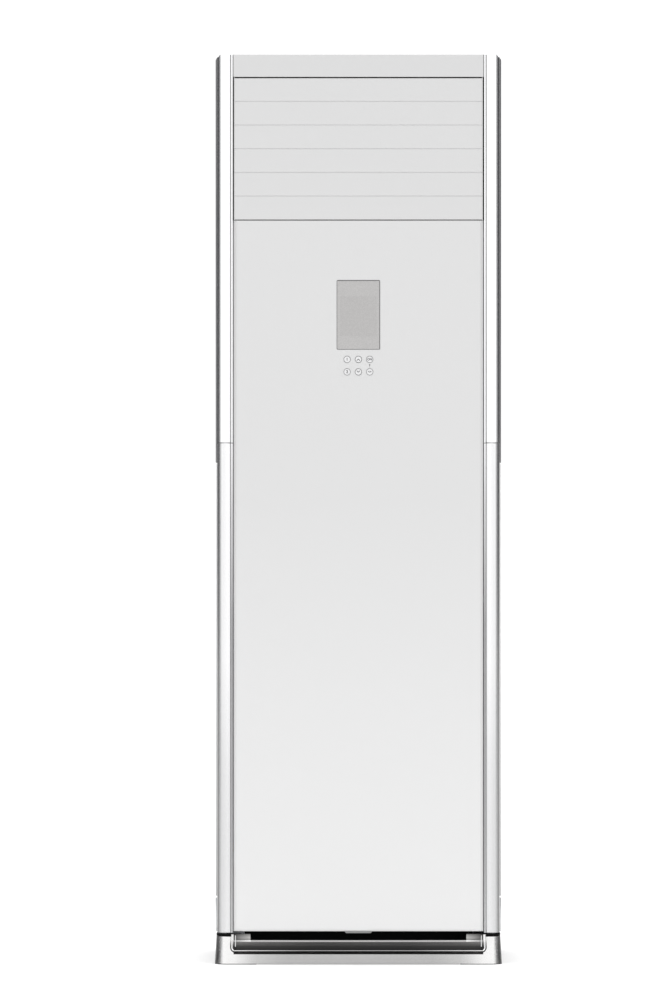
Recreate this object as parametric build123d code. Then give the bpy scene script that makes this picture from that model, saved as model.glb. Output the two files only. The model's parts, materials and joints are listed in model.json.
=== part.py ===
from build123d import *
from math import atan2, cos, degrees, exp, log, radians, sin
import os

# Floor standing air conditioner, millimetres.
# Origin: middle of the footprint on the floor, +X right, +Y to the rear, +Z up.
# The front of the cabinet faces -Y.

# ---- overall ----
base_width = 591.0
base_depth = 400.0
cabinet_height = 1870.0
cabinet_side_setback = 5.0
front_setback = 8.0
rear_setback = 3.0
seat_gap = 0.3
pin_fit = 0.08
loose_fit = 0.3

# ---- base plinth and feet ----
foot_height = 1.5
foot_width = 86.0
foot_length = 78.0
plinth_height = 60.0
plinth_flare = 3.5
plinth_wall = 3.0
plinth_corner_radius = 26.0
recess_side = 32.0
recess_bottom = 24.0
recess_radius = 11.0
recess_depth = 4.0
bead_radius = 1.6
bead_inset = 3.6
cove_radius = 15.0
cove_inset = 7.0
slot_lip_height = 12.0
slot_end_block = 41.5
chassis_height = 43.0
chassis_sheet = 2.0

# ---- corner columns and trim ----
column_width = 28.0
column_gap = 3.0
column_depth = 62.0
column_front_setback = 4.0
column_corner_radius = 14.0
column_wall = 2.4
column_seam_height = 1072.0
column_seam_gap = 0.4
column_top_chamfer = 6.0
trim_width = 4.3
trim_thickness = 2.6
trim_setback = 1.0

# ---- sheet metal cabinet ----
side_sheet = 1.5
rear_sheet = 1.2
rear_rib_count = 5
rear_rib_height = 2.0
rear_rib_margin = 160.0
rear_fold = 3.0
pipe_hole_radius = 35.0
pipe_hole_inset = 67.0
pipe_hole_height = 130.0
strap_hole_radius = 4.0
strap_hole_spacing = 300.0
strap_hole_drop = 64.0
header_height = 46.4
header_wall = 3.0
cap_wall = 4.0

# ---- front panel with its display and buttons ----
panel_side_gap = 1.4
panel_bottom = 67.6
panel_louver_gap = 1.7
panel_skin = 3.0
panel_return = 20.0
panel_bevel = 7.0
panel_bevel_depth = 3.5
panel_top_round = 2.0
panel_rib_count = 6
panel_hinge_setback = 6.0
panel_hinge_drop = 3.5
panel_hinge_pin_radius = 1.5
panel_hinge_x = 150.0
hinge_notch_width = 16.0
hinge_eye_radius = 2.6
hinge_finger_width = 10.0
window_width = 89.5
window_height = 143.4
window_drop = 122.3
window_radius = 2.5
lens_thickness = 3.6
lens_flange = 3.0
lens_flange_thickness = 1.5
button_radius = 7.0
button_pitch = 23.2
button_row_drops = (19.9, 45.5)
button_travel = 1.0
button_proud = 0.4
button_flange = 1.5
switch_radius = 2.5
board_setback = 8.4
board_thickness = 1.6
board_margin = 6.0
tab_width = 57.0
tab_taper = 3.0
tab_height = 3.8
tab_depth = 18.0

# ---- air outlet: louvers and vanes ----
louver_count = 6
louver_pitch = 48.65
louver_roof_gap = 1.1
louver_gap = 1.2
louver_thickness = 2.6
louver_side_gap = 2.3
louver_pivot_setback = 10.0
louver_pin_radius = 2.5
louver_crank_radius = 14.0
louver_crank_angle = 40.0
crank_pin_radius = 1.5
crank_thickness = 2.4
link_thickness = 2.4
link_width = 8.0
link_clearance = 0.3
cheek_thickness = 2.0
cheek_gap = 1.2
outlet_floor_drop = 0.5
outlet_floor_sheet = 2.0
outlet_roof_drop = 1.6
outlet_floor_front = 22.0
outlet_back_gap = 16.0
outlet_curve_radius = 120.0
vane_count = 7
vane_pitch = 64.0
vane_chord = 44.0
vane_thickness = 2.4
vane_setback = 66.0
vane_pin_radius = 2.0
vane_clearance = 4.0
vane_crank_radius = 12.0
stepper_radius = 11.0
stepper_length = 18.0
stepper_offset = 8.0

# ---- side intakes and filters ----
intake_bottom = 129.0
intake_top = 1030.0
intake_front_gap = 8.0
intake_rear_gap = 9.0
intake_bulge = 1.0
intake_skin = 2.5
intake_depth = 13.0
intake_edge_gap = 2.0
intake_flange = 10.0
rib_pitch = 32.63
rib_first_height = 201.2
rib_count = 22
rib_width = 4.0
rib_proud = 0.9
slots_per_rib = 2
slot_columns = 3
slot_bridge = 14.0
slot_margin = 18.0
slot_bar = 6.0
grip_drop = 110.0
grip_margin = 16.0
grip_recess_depth = 9.0
grip_recess_height = 60.0
grip_radius = 18.0
intake_pin_radius = 2.0
intake_pin_inset = 4.0
filter_thickness = 6.0
filter_net = 0.8
filter_frame = 9.0
filter_bottom = 145.0
filter_side_gap = 7.0
filter_rib_rows = 7
filter_lift = 45.0
clip_rows = 4
clip_length = 30.0

# ---- blower section ----
deck_height = 758.0
deck_sheet = 2.0
duct_side_gap = 27.0
duct_foam = 6.0
duct_setback = 87.0
duct_front_thickness = 5.0
wheel_height = 430.0
wheel_tongue_gap = 12.0
wheel_depth = 140.0
wheel_front_gap = 10.0
blade_count = 36
blade_length = 24.0
blade_thickness = 1.6
wheel_ring = 4.0
wheel_plate = 2.4
wheel_cone_radius = 80.0
wheel_cone_depth = 72.0
hub_radius = 15.0
hub_length = 24.0
shaft_radius = 6.0
scroll_depth = 170.0
scroll_rear_gap = 17.0
scroll_wall = 1.5
scroll_duct_gap = 12.0
scroll_growth_share = 0.728
scroll_tongue_angle = 70.0
scroll_spline_points = 11
scroll_foot_x = 120.0
scroll_foot_width = 40.0
eye_inset = 12.0
bellmouth_inset = 16.0
bellmouth_flange = 16.0
bellmouth_wall = 2.0
bellmouth_reach = 16.0
motor_radius = 66.0
motor_front_gap = 78.0
motor_shaft_depth = 62.0
motor_hole_radius = 78.0
motor_plate_radius = 100.0
motor_plate = 2.0

# ---- heat exchanger section ----
coil_side_gap = 24.0
coil_thickness = 60.0
coil_top_gap = 113.2
coil_front_gap = 38.0
coil_rear_gap = 58.3
coil_low_height = 892.0
coil_groove_count = 34
coil_groove_depth = 5.0
coil_plate = 2.0
tube_radius = 4.8
tube_rows = 6
pan_depth = 26.0
pan_front_gap = 2.0
pan_length = 110.0
pan_wall = 2.0
gas_pipe_radius = 8.0
liquid_pipe_radius = 4.8
pipe_rear_gap = 37.0
flare_nut_gap = 40.0
control_width = 300.0
control_bottom = 880.0
control_height = 270.0
control_depth = 54.0
control_sheet = 1.5

# ---- values worked out from the sizes above ----
cabinet_width = base_width - 2 * cabinet_side_setback
half_cabinet = cabinet_width / 2
face_y = -base_depth / 2 + front_setback
back_y = base_depth / 2 - rear_setback
plinth_top = foot_height + plinth_height
recess_width = base_width - 2 * recess_side
slot_width = recess_width - 2 * slot_end_block
column_inner = half_cabinet - column_width
column_front = face_y + column_front_setback
column_back = column_front + column_depth
column_bottom = plinth_top + column_gap
trim_outer = column_inner - seat_gap
trim_inner = trim_outer - trim_width
roof_top = cabinet_height - cap_wall
side_outer = half_cabinet
side_inner = side_outer - side_sheet
rear_inner = back_y - rear_sheet
pipe_hole_x = -(side_inner - pipe_hole_inset)
strap_hole_height = cabinet_height - strap_hole_drop

outlet_roof_height = cabinet_height - header_height - outlet_roof_drop
louver_top = outlet_roof_height - louver_roof_gap
louver_height = louver_pitch - louver_gap
louver_bottom = louver_top + louver_gap - louver_count * louver_pitch
panel_top = louver_bottom - panel_louver_gap
outlet_floor_height = panel_top - outlet_floor_drop
half_panel = trim_inner - panel_side_gap
panel_back = face_y + panel_skin
hinge_y = face_y + panel_hinge_setback
hinge_height = panel_top - panel_hinge_drop
window_top = panel_top - window_drop
window_bottom = window_top - window_height
button_row_heights = [window_bottom - drop for drop in button_row_drops]
board_front = face_y + board_setback
board_back = board_front + board_thickness

louver_width = 2 * (half_panel - louver_side_gap)
louver_face = face_y + trim_setback
louver_pivot_y = louver_face + louver_pivot_setback
cheek_inner = louver_width / 2 + cheek_gap
cheek_outer = cheek_inner + cheek_thickness
crank_outer = cheek_outer + 1.0 + crank_thickness
link_outer = crank_outer + seat_gap + link_thickness
vane_pivot_y = face_y + vane_setback

intake_front = column_back + intake_front_gap
intake_rear = back_y - intake_rear_gap
intake_outer = side_outer + intake_bulge
intake_inner = intake_outer - intake_depth
intake_pin_x = intake_outer - intake_pin_inset
intake_pin_height = intake_bottom + intake_pin_inset
filter_outer = intake_inner - seat_gap
filter_inner = filter_outer - filter_thickness
filter_front = intake_front + filter_side_gap
filter_rear = intake_rear - filter_side_gap
filter_height = intake_top - filter_lift - filter_bottom

duct_half_width = side_inner - duct_side_gap
duct_front = face_y + duct_setback
throat_y = duct_front + duct_front_thickness
scroll_rear = back_y - scroll_rear_gap
scroll_front = scroll_rear - scroll_depth
scroll_end_radius = duct_half_width - scroll_duct_gap
scroll_start_radius = scroll_end_radius * scroll_growth_share
scroll_growth = log(scroll_end_radius / scroll_start_radius) / radians(360 - scroll_tongue_angle)
duct_left_x = scroll_start_radius * cos(radians(scroll_tongue_angle))
wheel_radius = scroll_start_radius - wheel_tongue_gap
wheel_front = scroll_front + wheel_front_gap
wheel_rear = wheel_front + wheel_depth
wheel_cone_front = wheel_rear - wheel_cone_depth
eye_radius = wheel_radius - eye_inset
bellmouth_throat = eye_radius - bellmouth_inset
bellmouth_flange_radius = eye_radius + bellmouth_flange
motor_front = wheel_front + motor_front_gap

coil_width = 2 * (duct_half_width - coil_side_gap)
coil_low_y = throat_y + coil_front_gap
coil_run = back_y - coil_rear_gap - coil_low_y
coil_rise = outlet_floor_height - coil_top_gap - coil_low_height
coil_length = (coil_run ** 2 + coil_rise ** 2) ** 0.5
coil_tilt = degrees(atan2(coil_run, coil_rise))
pan_front = throat_y + pan_front_gap
pan_rear = pan_front + pan_length
pipe_y = back_y - pipe_rear_gap


# ---- helpers ----
def block(x_low, x_high, y_low, y_high, z_low, z_high):
    """Solid block between six planes."""
    centre = ((x_low + x_high) / 2, (y_low + y_high) / 2, (z_low + z_high) / 2)
    return Pos(*centre) * Box(x_high - x_low, y_high - y_low, z_high - z_low)


def along_x(sketch, x_low, x_high):
    """Extrude a sketch drawn in (Y, Z) from x_low to x_high."""
    return extrude(Plane.YZ.offset(x_low) * sketch, x_high - x_low)


def along_y(sketch, y_low, y_high):
    """Extrude a sketch drawn in (X, Z) from y_low to y_high."""
    return extrude(Plane.XZ.offset(-y_high) * sketch, y_high - y_low)


def along_z(sketch, z_low, z_high):
    """Extrude a sketch drawn in (X, Y) from z_low to z_high."""
    return extrude(Plane.XY.offset(z_low) * sketch, z_high - z_low)


def rod_x(radius, x_low, x_high, y, z):
    return along_x(Pos(y, z) * Circle(radius), x_low, x_high)


def rod_y(radius, y_low, y_high, x, z):
    return along_y(Pos(x, z) * Circle(radius), y_low, y_high)


def rod_z(radius, z_low, z_high, x, y):
    return along_z(Pos(x, y) * Circle(radius), z_low, z_high)


def closed_outline(*edges):
    """Face inside a closed chain of edges."""
    chain = edges[0]
    for edge in edges[1:]:
        chain += edge
    return make_face(chain)


def other_side(shape):
    """The same piece on the other side of the cabinet."""
    return mirror(shape, Plane.YZ)


# ---- base ----
def make_base_plinth():
    """Open-bottomed moulding: flared sides, framed recess and cove across the front."""
    bottom = Plane.XY.offset(foot_height) * RectangleRounded(base_width, base_depth, plinth_corner_radius)
    top_width = base_width - 2 * plinth_flare
    top_depth = base_depth - plinth_flare
    top = Plane.XY.offset(plinth_top) * RectangleRounded(top_width, top_depth, plinth_corner_radius)
    shell = loft([bottom, top])
    shell -= along_z(plinth_well(0), foot_height, plinth_top)
    front = -base_depth / 2
    recess_top = plinth_top + 1
    recess_height = recess_top - recess_bottom + recess_radius
    recess = Pos(0, recess_bottom + recess_height / 2) * RectangleRounded(
        recess_width, recess_height, recess_radius)
    shell -= along_y(recess, front - 1, front + recess_depth)
    # half-round bead that frames the recess
    bead_x = recess_width / 2 - bead_inset
    bead_z = recess_bottom + bead_inset
    bead_top = plinth_top - bead_radius
    path = FilletPolyline((-bead_x, front + recess_depth, bead_top),
                          (-bead_x, front + recess_depth, bead_z),
                          (bead_x, front + recess_depth, bead_z),
                          (bead_x, front + recess_depth, bead_top),
                          radius=recess_radius - bead_inset)
    bead_start = Plane(origin=path @ 0, z_dir=path % 0)
    shell += sweep(bead_start * Circle(bead_radius), path=path)
    # hollow cove under the lip of the air slot
    lip = plinth_top - slot_lip_height
    half_cove = recess_width / 2 - cove_inset
    cove = Pos(front + recess_depth, lip - cove_radius + 1) * Circle(cove_radius)
    cove &= Pos(front + recess_depth, lip - cove_radius) * Rectangle(3 * cove_radius, 2 * cove_radius - 2)
    shell -= along_x(cove, -half_cove, half_cove)
    # the slot above the lip, between its two end blocks
    half_slot = slot_width / 2
    shell -= block(-half_cove, half_cove, front - 1, front + recess_depth + slot_lip_height,
                   lip, plinth_top + 1)
    shell -= block(-half_slot, half_slot, front - 1, front + 2 * cove_radius + 20, lip, plinth_top + 1)
    # solid corners over the foot pads, and rails under the chassis plate
    pad_x = base_width / 2 - foot_width / 2 - plinth_flare
    pad_y = base_depth / 2 - foot_length / 2 - plinth_flare
    for x in (-pad_x, pad_x):
        for y in (-pad_y, pad_y):
            corner = block(x - foot_width / 2 + plinth_flare, x + foot_width / 2 - plinth_flare,
                           y - foot_length / 2 + plinth_flare, y + foot_length / 2 - plinth_flare,
                           foot_height, foot_height + 8)
            shell += corner
            shell += rod_z(9, foot_height, chassis_height, x, y)
    return shell


def plinth_well(inset):
    """Outline of the room inside the plinth, drawn in by inset: thick front wall, thin others."""
    width = base_width - 2 * plinth_flare - 2 * plinth_wall
    front = -base_depth / 2 + plinth_wall + cove_inset + cove_radius
    rear = base_depth / 2 - plinth_flare / 2 - plinth_wall
    return Pos(0, (front + rear) / 2) * RectangleRounded(
        width - 2 * inset, rear - front - 2 * inset, plinth_corner_radius / 2 - inset)


def make_foot_pads():
    """Four flat pads, one under each corner of the plinth."""
    pads = []
    outline = RectangleRounded(base_width, base_depth, plinth_corner_radius)
    for x in (-1, 1):
        for y in (-1, 1):
            corner = Pos(x * (base_width - foot_width) / 2, y * (base_depth - foot_length) / 2)
            pads.append(along_z(outline & corner * Rectangle(foot_width, foot_length), 0, foot_height))
    return pads


def make_chassis_plate():
    """Steel pan that stiffens the plinth and closes the bottom of the blower room."""
    plate = along_z(plinth_well(seat_gap), chassis_height, chassis_height + chassis_sheet)
    rim_height = plinth_top - slot_lip_height - 1
    rim = along_z(plinth_well(seat_gap) - plinth_well(seat_gap + chassis_sheet), chassis_height, rim_height)
    return plate + rim


# ---- corner columns, trim and sheets ----
def column_section():
    """Right column in plan: flat front, rounded outer corner, short inner lip."""
    front = column_front
    wall = column_wall
    radius = column_corner_radius
    inner_radius = radius - wall
    outer = half_cabinet
    bend = 1 / 2 ** 0.5
    centre_x = outer - radius
    centre_y = front + radius
    lip = front + wall + 0.6
    return closed_outline(
        Line((column_inner, lip), (column_inner, front)),
        Line((column_inner, front), (centre_x, front)),
        ThreePointArc((centre_x, front), (centre_x + radius * bend, centre_y - radius * bend),
                      (outer, centre_y)),
        Line((outer, centre_y), (outer, column_back)),
        Line((outer, column_back), (outer - wall, column_back)),
        Line((outer - wall, column_back), (outer - wall, centre_y)),
        ThreePointArc((outer - wall, centre_y),
                      (centre_x + inner_radius * bend, centre_y - inner_radius * bend),
                      (centre_x, front + wall)),
        Line((centre_x, front + wall), (column_inner + wall, front + wall)),
        Line((column_inner + wall, front + wall), (column_inner + wall, lip)),
        Line((column_inner + wall, lip), (column_inner, lip)),
    )


def column_outline():
    """Filled outline of the column, for its end caps."""
    radius = column_corner_radius
    body = Pos((column_inner + half_cabinet) / 2, (column_front + column_back) / 2) * Rectangle(
        column_width, column_depth)
    corner = body.vertices().group_by(Axis.Y)[0].sort_by(Axis.X)[-1]
    return fillet(corner, radius)


def make_column_upper():
    """Upper length of the right column, with its chamfered top cap."""
    column = along_z(column_section(), column_seam_height + column_seam_gap, cabinet_height)
    column += along_z(column_outline(), cabinet_height - cap_wall, cabinet_height)
    wedge = make_face(Polyline((half_cabinet - column_top_chamfer, cabinet_height),
                               (half_cabinet, cabinet_height - column_top_chamfer * 1.4),
                               (half_cabinet + 1, cabinet_height - column_top_chamfer * 1.4),
                               (half_cabinet + 1, cabinet_height + 1),
                               (half_cabinet - column_top_chamfer, cabinet_height + 1), close=True))
    return column - along_y(wedge, column_front - 1, column_back + 1)


def make_column_lower():
    """Lower length of the right column."""
    column = along_z(column_section(), column_bottom, column_seam_height)
    column += along_z(column_outline(), column_bottom, column_bottom + column_wall)
    return column


def make_trim_strip():
    """Bright strip between the right column and the front panel, hooked to the column's lip."""
    y_low = face_y + trim_setback
    y_high = y_low + trim_thickness
    strip = block(trim_inner, trim_outer, y_low, y_high, column_bottom, cabinet_height)
    edges = strip.edges().filter_by(Axis.Z).group_by(Axis.Y)[0]
    return chamfer(edges, 0.8)


def make_side_panel():
    """Right side sheet with a folded frame round the intake opening."""
    y_low = column_back + seat_gap
    hole_front = intake_front - intake_edge_gap
    hole_rear = intake_rear + intake_edge_gap
    hole_bottom = intake_bottom - intake_edge_gap - 0.6
    hole_top = intake_top + intake_edge_gap
    fold = side_sheet
    flange_x = side_outer - intake_flange
    panel = block(side_inner, side_outer, y_low, back_y, plinth_top, roof_top)
    panel += block(flange_x, side_outer, hole_front - fold, hole_rear + fold,
                   hole_bottom - fold, hole_top + fold)
    panel -= block(flange_x - 1, side_outer + 1, hole_front, hole_rear, hole_bottom, hole_top)
    # folded tabs that carry the hinge pegs of the intake panel
    peg = (intake_pin_x, intake_pin_height)
    panel -= rod_y(intake_pin_radius + pin_fit, hole_front - fold - 1, hole_rear + fold + 1, *peg)
    # inner front fold that the column's back edge lies against
    panel += block(side_outer - 3 * column_wall, side_inner, y_low, y_low + fold,
                   plinth_top, hole_bottom - fold)
    panel += block(side_outer - 3 * column_wall, side_inner, y_low, y_low + fold,
                   hole_top + fold, roof_top)
    return panel


def make_rear_panel():
    """Rear sheet with folded sides, pressed ribs, the pipe hole and two strap holes."""
    half = side_inner
    panel = block(-half, half, rear_inner, back_y, plinth_top, roof_top)
    for x in (-half, half - rear_sheet):
        panel += block(x, x + rear_sheet, rear_inner - rear_fold, rear_inner, plinth_top, roof_top)
    rib_zone = roof_top - 2 * rear_rib_margin - pipe_hole_height
    for index in range(rear_rib_count):
        z = pipe_hole_height + rear_rib_margin + rib_zone * index / (rear_rib_count - 1)
        rib = Pos(0, z) * SlotOverall(half * 1.5, 26)
        panel += along_y(rib, back_y - rear_sheet, back_y + rear_rib_height)
    panel -= rod_y(pipe_hole_radius, rear_inner - 1, back_y + 1, pipe_hole_x, pipe_hole_height)
    for x in (-strap_hole_spacing / 2, strap_hole_spacing / 2):
        panel -= rod_y(strap_hole_radius, rear_inner - 1, back_y + 1, x, strap_hole_height)
    return panel


def make_top_cap():
    """Header above the louvers and the flat lid of the cabinet, one moulding."""
    header_low = cabinet_height - header_height
    front = face_y + 0.6
    lid_half = trim_inner - seat_gap
    header = block(-lid_half, lid_half, front, front + header_wall, header_low, cabinet_height)
    edge = header.edges().filter_by(Axis.X).group_by(Axis.Y)[0].sort_by(Axis.Z)[-1]
    cap = fillet(edge, 2.0)
    cap += block(-lid_half, lid_half, front + header_wall, column_back + seat_gap,
                 roof_top, cabinet_height)
    cap += block(-half_cabinet, half_cabinet, column_back + seat_gap, back_y, roof_top, cabinet_height)
    for x in (-lid_half / 2, 0, lid_half / 2):
        cap += block(x - 1, x + 1, front + header_wall, front + header_wall + 20,
                     header_low + 6, roof_top)
    return cap


# ---- front panel ----
def make_front_panel():
    """Long moulded door: bevelled edges, hollow back, ribs, window, button holes, hinge pins."""
    height = panel_top - panel_bottom
    middle = (panel_top + panel_bottom) / 2
    bevel_y = face_y + panel_bevel_depth
    rear = Pos(0, middle) * Rectangle(2 * half_panel, height)
    face_low = panel_bottom + panel_bevel * 0.7
    face = Pos(0, (panel_top + face_low) / 2) * Rectangle(2 * (half_panel - panel_bevel),
                                                         panel_top - face_low)
    panel = loft([Plane.XZ.offset(-bevel_y) * rear, Plane.XZ.offset(-face_y) * face], ruled=True)
    top_edge = panel.edges().filter_by(Axis.X).group_by(Axis.Z)[-1].sort_by(Axis.Y)[0]
    panel = fillet(top_edge, panel_top_round)
    back = face_y + panel_return
    panel += along_y(rear, bevel_y, back)
    inner_side = half_panel - panel_skin
    panel -= block(-inner_side, inner_side, panel_back + 1, back + 1,
                   panel_bottom + panel_skin, panel_top - panel_skin)
    inner_flat = half_panel - panel_bevel - 1
    panel -= block(-inner_flat, inner_flat, panel_back, back + 1,
                   face_low + 1, panel_top - panel_skin)
    # stiffening ribs across the hollow back, clear of the display
    rib_top = window_bottom - 90
    for index in range(panel_rib_count):
        z = panel_bottom + 110 + (rib_top - panel_bottom - 110) * index / (panel_rib_count - 1)
        panel += block(-inner_side, inner_side, panel_back, panel_back + 8, z - 1, z + 1)
    # display window and button holes
    window = Pos(0, (window_bottom + window_top) / 2) * RectangleRounded(
        window_width, window_height, window_radius)
    panel -= along_y(window, face_y - 1, panel_back + 1)
    for x, z in button_places().values():
        panel -= rod_y(button_radius + loose_fit, face_y - 1, panel_back + 1, x, z)
    # posts that carry the display board
    for x in (-1, 1):
        for z in (button_row_heights[1] - 7, window_top + 7):
            panel += rod_y(3, panel_back, board_front, x * board_half_width() * 0.86, z)
    # two hinge pins, each across a notch in the top return
    for x in (-panel_hinge_x, panel_hinge_x):
        notch = hinge_notch_width / 2
        panel -= block(x - notch, x + notch, panel_back, back + 1, panel_top - panel_skin - 1,
                       panel_top + 1)
        for side in (-1, 1):
            lug_x = x + side * (notch + 1.5)
            panel += block(lug_x - 1.5, lug_x + 1.5, panel_back, hinge_y + 3.2,
                           hinge_height - 3, panel_top - 1)
        panel += rod_x(panel_hinge_pin_radius, x - notch - 1, x + notch + 1, hinge_y, hinge_height)
    return panel


def button_places():
    """Centre of each button on the face of the panel, by name."""
    upper, lower = button_row_heights
    return {
        "button_mode": (-button_pitch, upper),
        "button_up": (0, upper),
        "button_power": (button_pitch, upper),
        "button_fan": (-button_pitch, lower),
        "button_down": (0, lower),
        "button_swing": (button_pitch, lower),
    }


def board_half_width():
    return window_width / 2 + board_margin


def make_button(x, z):
    """Round key: domed cap in the panel, stop flange and stem behind it."""
    front = face_y - button_proud
    flange_front = panel_back + seat_gap
    key = rod_y(button_radius, front, flange_front, x, z)
    key = fillet(key.edges().filter_by(GeomType.CIRCLE).group_by(Axis.Y)[0], 0.5)
    key += rod_y(button_radius + 1.3, flange_front, flange_front + button_flange, x, z)
    return key


def make_display_lens():
    """Smoked window pane, flush with the face and glued behind it by its flange."""
    middle = (window_bottom + window_top) / 2
    front = face_y + seat_gap
    pane = RectangleRounded(window_width - 2 * loose_fit, window_height - 2 * loose_fit,
                            window_radius - loose_fit)
    lens = along_y(Pos(0, middle) * pane, front, front + lens_thickness)
    flange = RectangleRounded(window_width + 2 * lens_flange, window_height + 2 * lens_flange,
                              window_radius + lens_flange)
    lens += along_y(Pos(0, middle) * flange, panel_back, panel_back + lens_flange_thickness)
    return lens


def make_display_board():
    """Circuit board behind the face, with its display block and the six key switches."""
    half = board_half_width()
    z_low = button_row_heights[1] - 15
    z_high = window_top + 15
    board = block(-half, half, board_front, board_back, z_low, z_high)
    middle = (window_bottom + window_top) / 2
    lens_back = panel_back + lens_flange_thickness
    board += block(-window_width / 2 + 6, window_width / 2 - 6, lens_back, board_front,
                   middle - window_height * 0.36, middle + window_height * 0.3)
    stop = panel_back + seat_gap + button_flange + button_travel + 0.1
    for x, z in button_places().values():
        board += rod_y(switch_radius, stop, board_front, x, z)
    board += block(-18, 18, board_back, board_back + 8, z_low + 4, z_low + 14)
    return board


def make_panel_pull_tab():
    """Finger tab under the middle of the panel's lower edge."""
    top = tab_width / 2
    low = top - tab_taper
    outline = make_face(Polyline((-top, panel_bottom), (top, panel_bottom),
                                 (low, panel_bottom - tab_height), (-low, panel_bottom - tab_height),
                                 close=True))
    tab = along_y(outline, face_y + 1, face_y + 1 + tab_depth)
    finger = Pos(face_y + tab_depth * 0.62, panel_bottom - tab_height) * Circle(2.2)
    return tab - along_x(finger, -low + 4, low - 4)


# ---- outlet: louvers, vanes, frame ----
def louver_pivot_height(index):
    """Pivot height of a louver, counted from the top."""
    return louver_top - louver_height / 2 - index * louver_pitch


def crank_offset():
    """Crank pin seen from the pivot at rest, in (Y, Z)."""
    angle = radians(louver_crank_angle)
    return louver_crank_radius * cos(angle), louver_crank_radius * sin(angle)


def make_louver(index):
    """Long slat with end arms, pivot pins and a crank outside the left cheek."""
    z = louver_pivot_height(index)
    half = louver_width / 2
    y_face = louver_face
    y_back = louver_face + louver_thickness
    high = z + louver_height / 2
    low = z - louver_height / 2
    slat = block(-half, half, y_face, y_back, low, high)
    slat = chamfer(slat.edges().filter_by(Axis.X).group_by(Axis.Y)[0], 0.8)
    # curled stiffening rib along the back
    slat += block(-half + 6, half - 6, y_back, y_back + 3, z - 1, z + 1)
    for side in (-1, 1):
        x_end = side * half
        x_arm = side * (half - 2.4)
        x_low, x_high = sorted((x_end, x_arm))
        arm = make_face(Polyline((y_back, z + 14), (louver_pivot_y + 2, z + 4),
                                 (louver_pivot_y + 2, z - 4), (y_back, z - 14), close=True))
        slat += along_x(arm, x_low, x_high)
        slat += rod_x(louver_pin_radius + 2, x_low, x_high, louver_pivot_y, z)
    motor_side = index == 0
    right_end = cheek_outer + 8 if motor_side else cheek_outer
    slat += rod_x(louver_pin_radius, half - 1, right_end, louver_pivot_y, z)
    crank_inner = crank_outer - crank_thickness
    slat += rod_x(louver_pin_radius, -crank_inner, -half + 1, louver_pivot_y, z)
    dy, dz = crank_offset()
    crank = make_hull((Pos(louver_pivot_y, z) * Circle(louver_pin_radius + 1.5)
                       + Pos(louver_pivot_y + dy, z + dz) * Circle(crank_pin_radius + 1.5)).edges())
    slat += along_x(crank, -crank_outer, -crank_inner)
    slat += rod_x(crank_pin_radius, -link_outer, -crank_outer, louver_pivot_y + dy, z + dz)
    return slat


def make_louver_link():
    """Upright bar that joins the cranks, a close fit on the first and loose on the rest."""
    dy, dz = crank_offset()
    y = louver_pivot_y + dy
    top = louver_pivot_height(0) + dz
    bottom = louver_pivot_height(louver_count - 1) + dz
    bar = Pos(y, (top + bottom) / 2) * Rot(0, 0, 90) * SlotOverall(
        top - bottom + link_width, link_width)
    for index in range(louver_count):
        clearance = pin_fit if index == 0 else link_clearance
        bar -= Pos(y, louver_pivot_height(index) + dz) * Circle(crank_pin_radius + clearance)
    return along_x(bar, -link_outer, -link_outer + link_thickness)


def vane_x(index):
    """Place of a vane across the outlet, counted from the left."""
    return (index - (vane_count - 1) / 2) * vane_pitch


def make_vane(index):
    """Upright guide vane with pivot pins, and a crank under the outlet floor."""
    x = vane_x(index)
    floor_top = outlet_floor_height + outlet_floor_sheet
    low = floor_top + vane_clearance
    high = outlet_roof_height - vane_clearance
    half = vane_chord / 2
    nose = vane_thickness / 2
    section = Pos(x, vane_pivot_y) * Rot(0, 0, 90) * SlotOverall(vane_chord, vane_thickness)
    vane = along_z(section, low, high)
    corner_cut = make_face(Polyline((vane_pivot_y - half - 1, high + 1), (vane_pivot_y - half + 16, high + 1),
                                    (vane_pivot_y - half - 1, high - 22), close=True))
    vane -= along_x(corner_cut, x - nose - 1, x + nose + 1)
    vane += rod_z(vane_pin_radius + 2, low - vane_clearance + seat_gap, high + vane_clearance - seat_gap,
                  x, vane_pivot_y)
    top_end = outlet_roof_height + outlet_floor_sheet
    if index == 0:
        top_end += 8
    crank_top = outlet_floor_height - 0.6
    crank_low = crank_top - crank_thickness
    vane += rod_z(vane_pin_radius, crank_low, top_end, x, vane_pivot_y)
    pin_y = vane_pivot_y + vane_crank_radius
    crank = make_hull((Pos(x, vane_pivot_y) * Circle(vane_pin_radius + 1.5)
                       + Pos(x, pin_y) * Circle(crank_pin_radius + 1.5)).edges())
    vane += along_z(crank, crank_low, crank_top)
    vane += rod_z(crank_pin_radius, crank_low - seat_gap - link_thickness, crank_low, x, pin_y)
    return vane


def make_vane_link():
    """Cross bar that joins the vane cranks, a close fit on the first and loose on the rest."""
    high = outlet_floor_height - 0.6 - crank_thickness - seat_gap
    pin_y = vane_pivot_y + vane_crank_radius
    length = (vane_count - 1) * vane_pitch + link_width
    bar = Pos(0, pin_y) * SlotOverall(length, link_width)
    for index in range(vane_count):
        clearance = pin_fit if index == 0 else link_clearance
        bar -= Pos(vane_x(index), pin_y) * Circle(crank_pin_radius + clearance)
    return along_z(bar, high - link_thickness, high)


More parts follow.
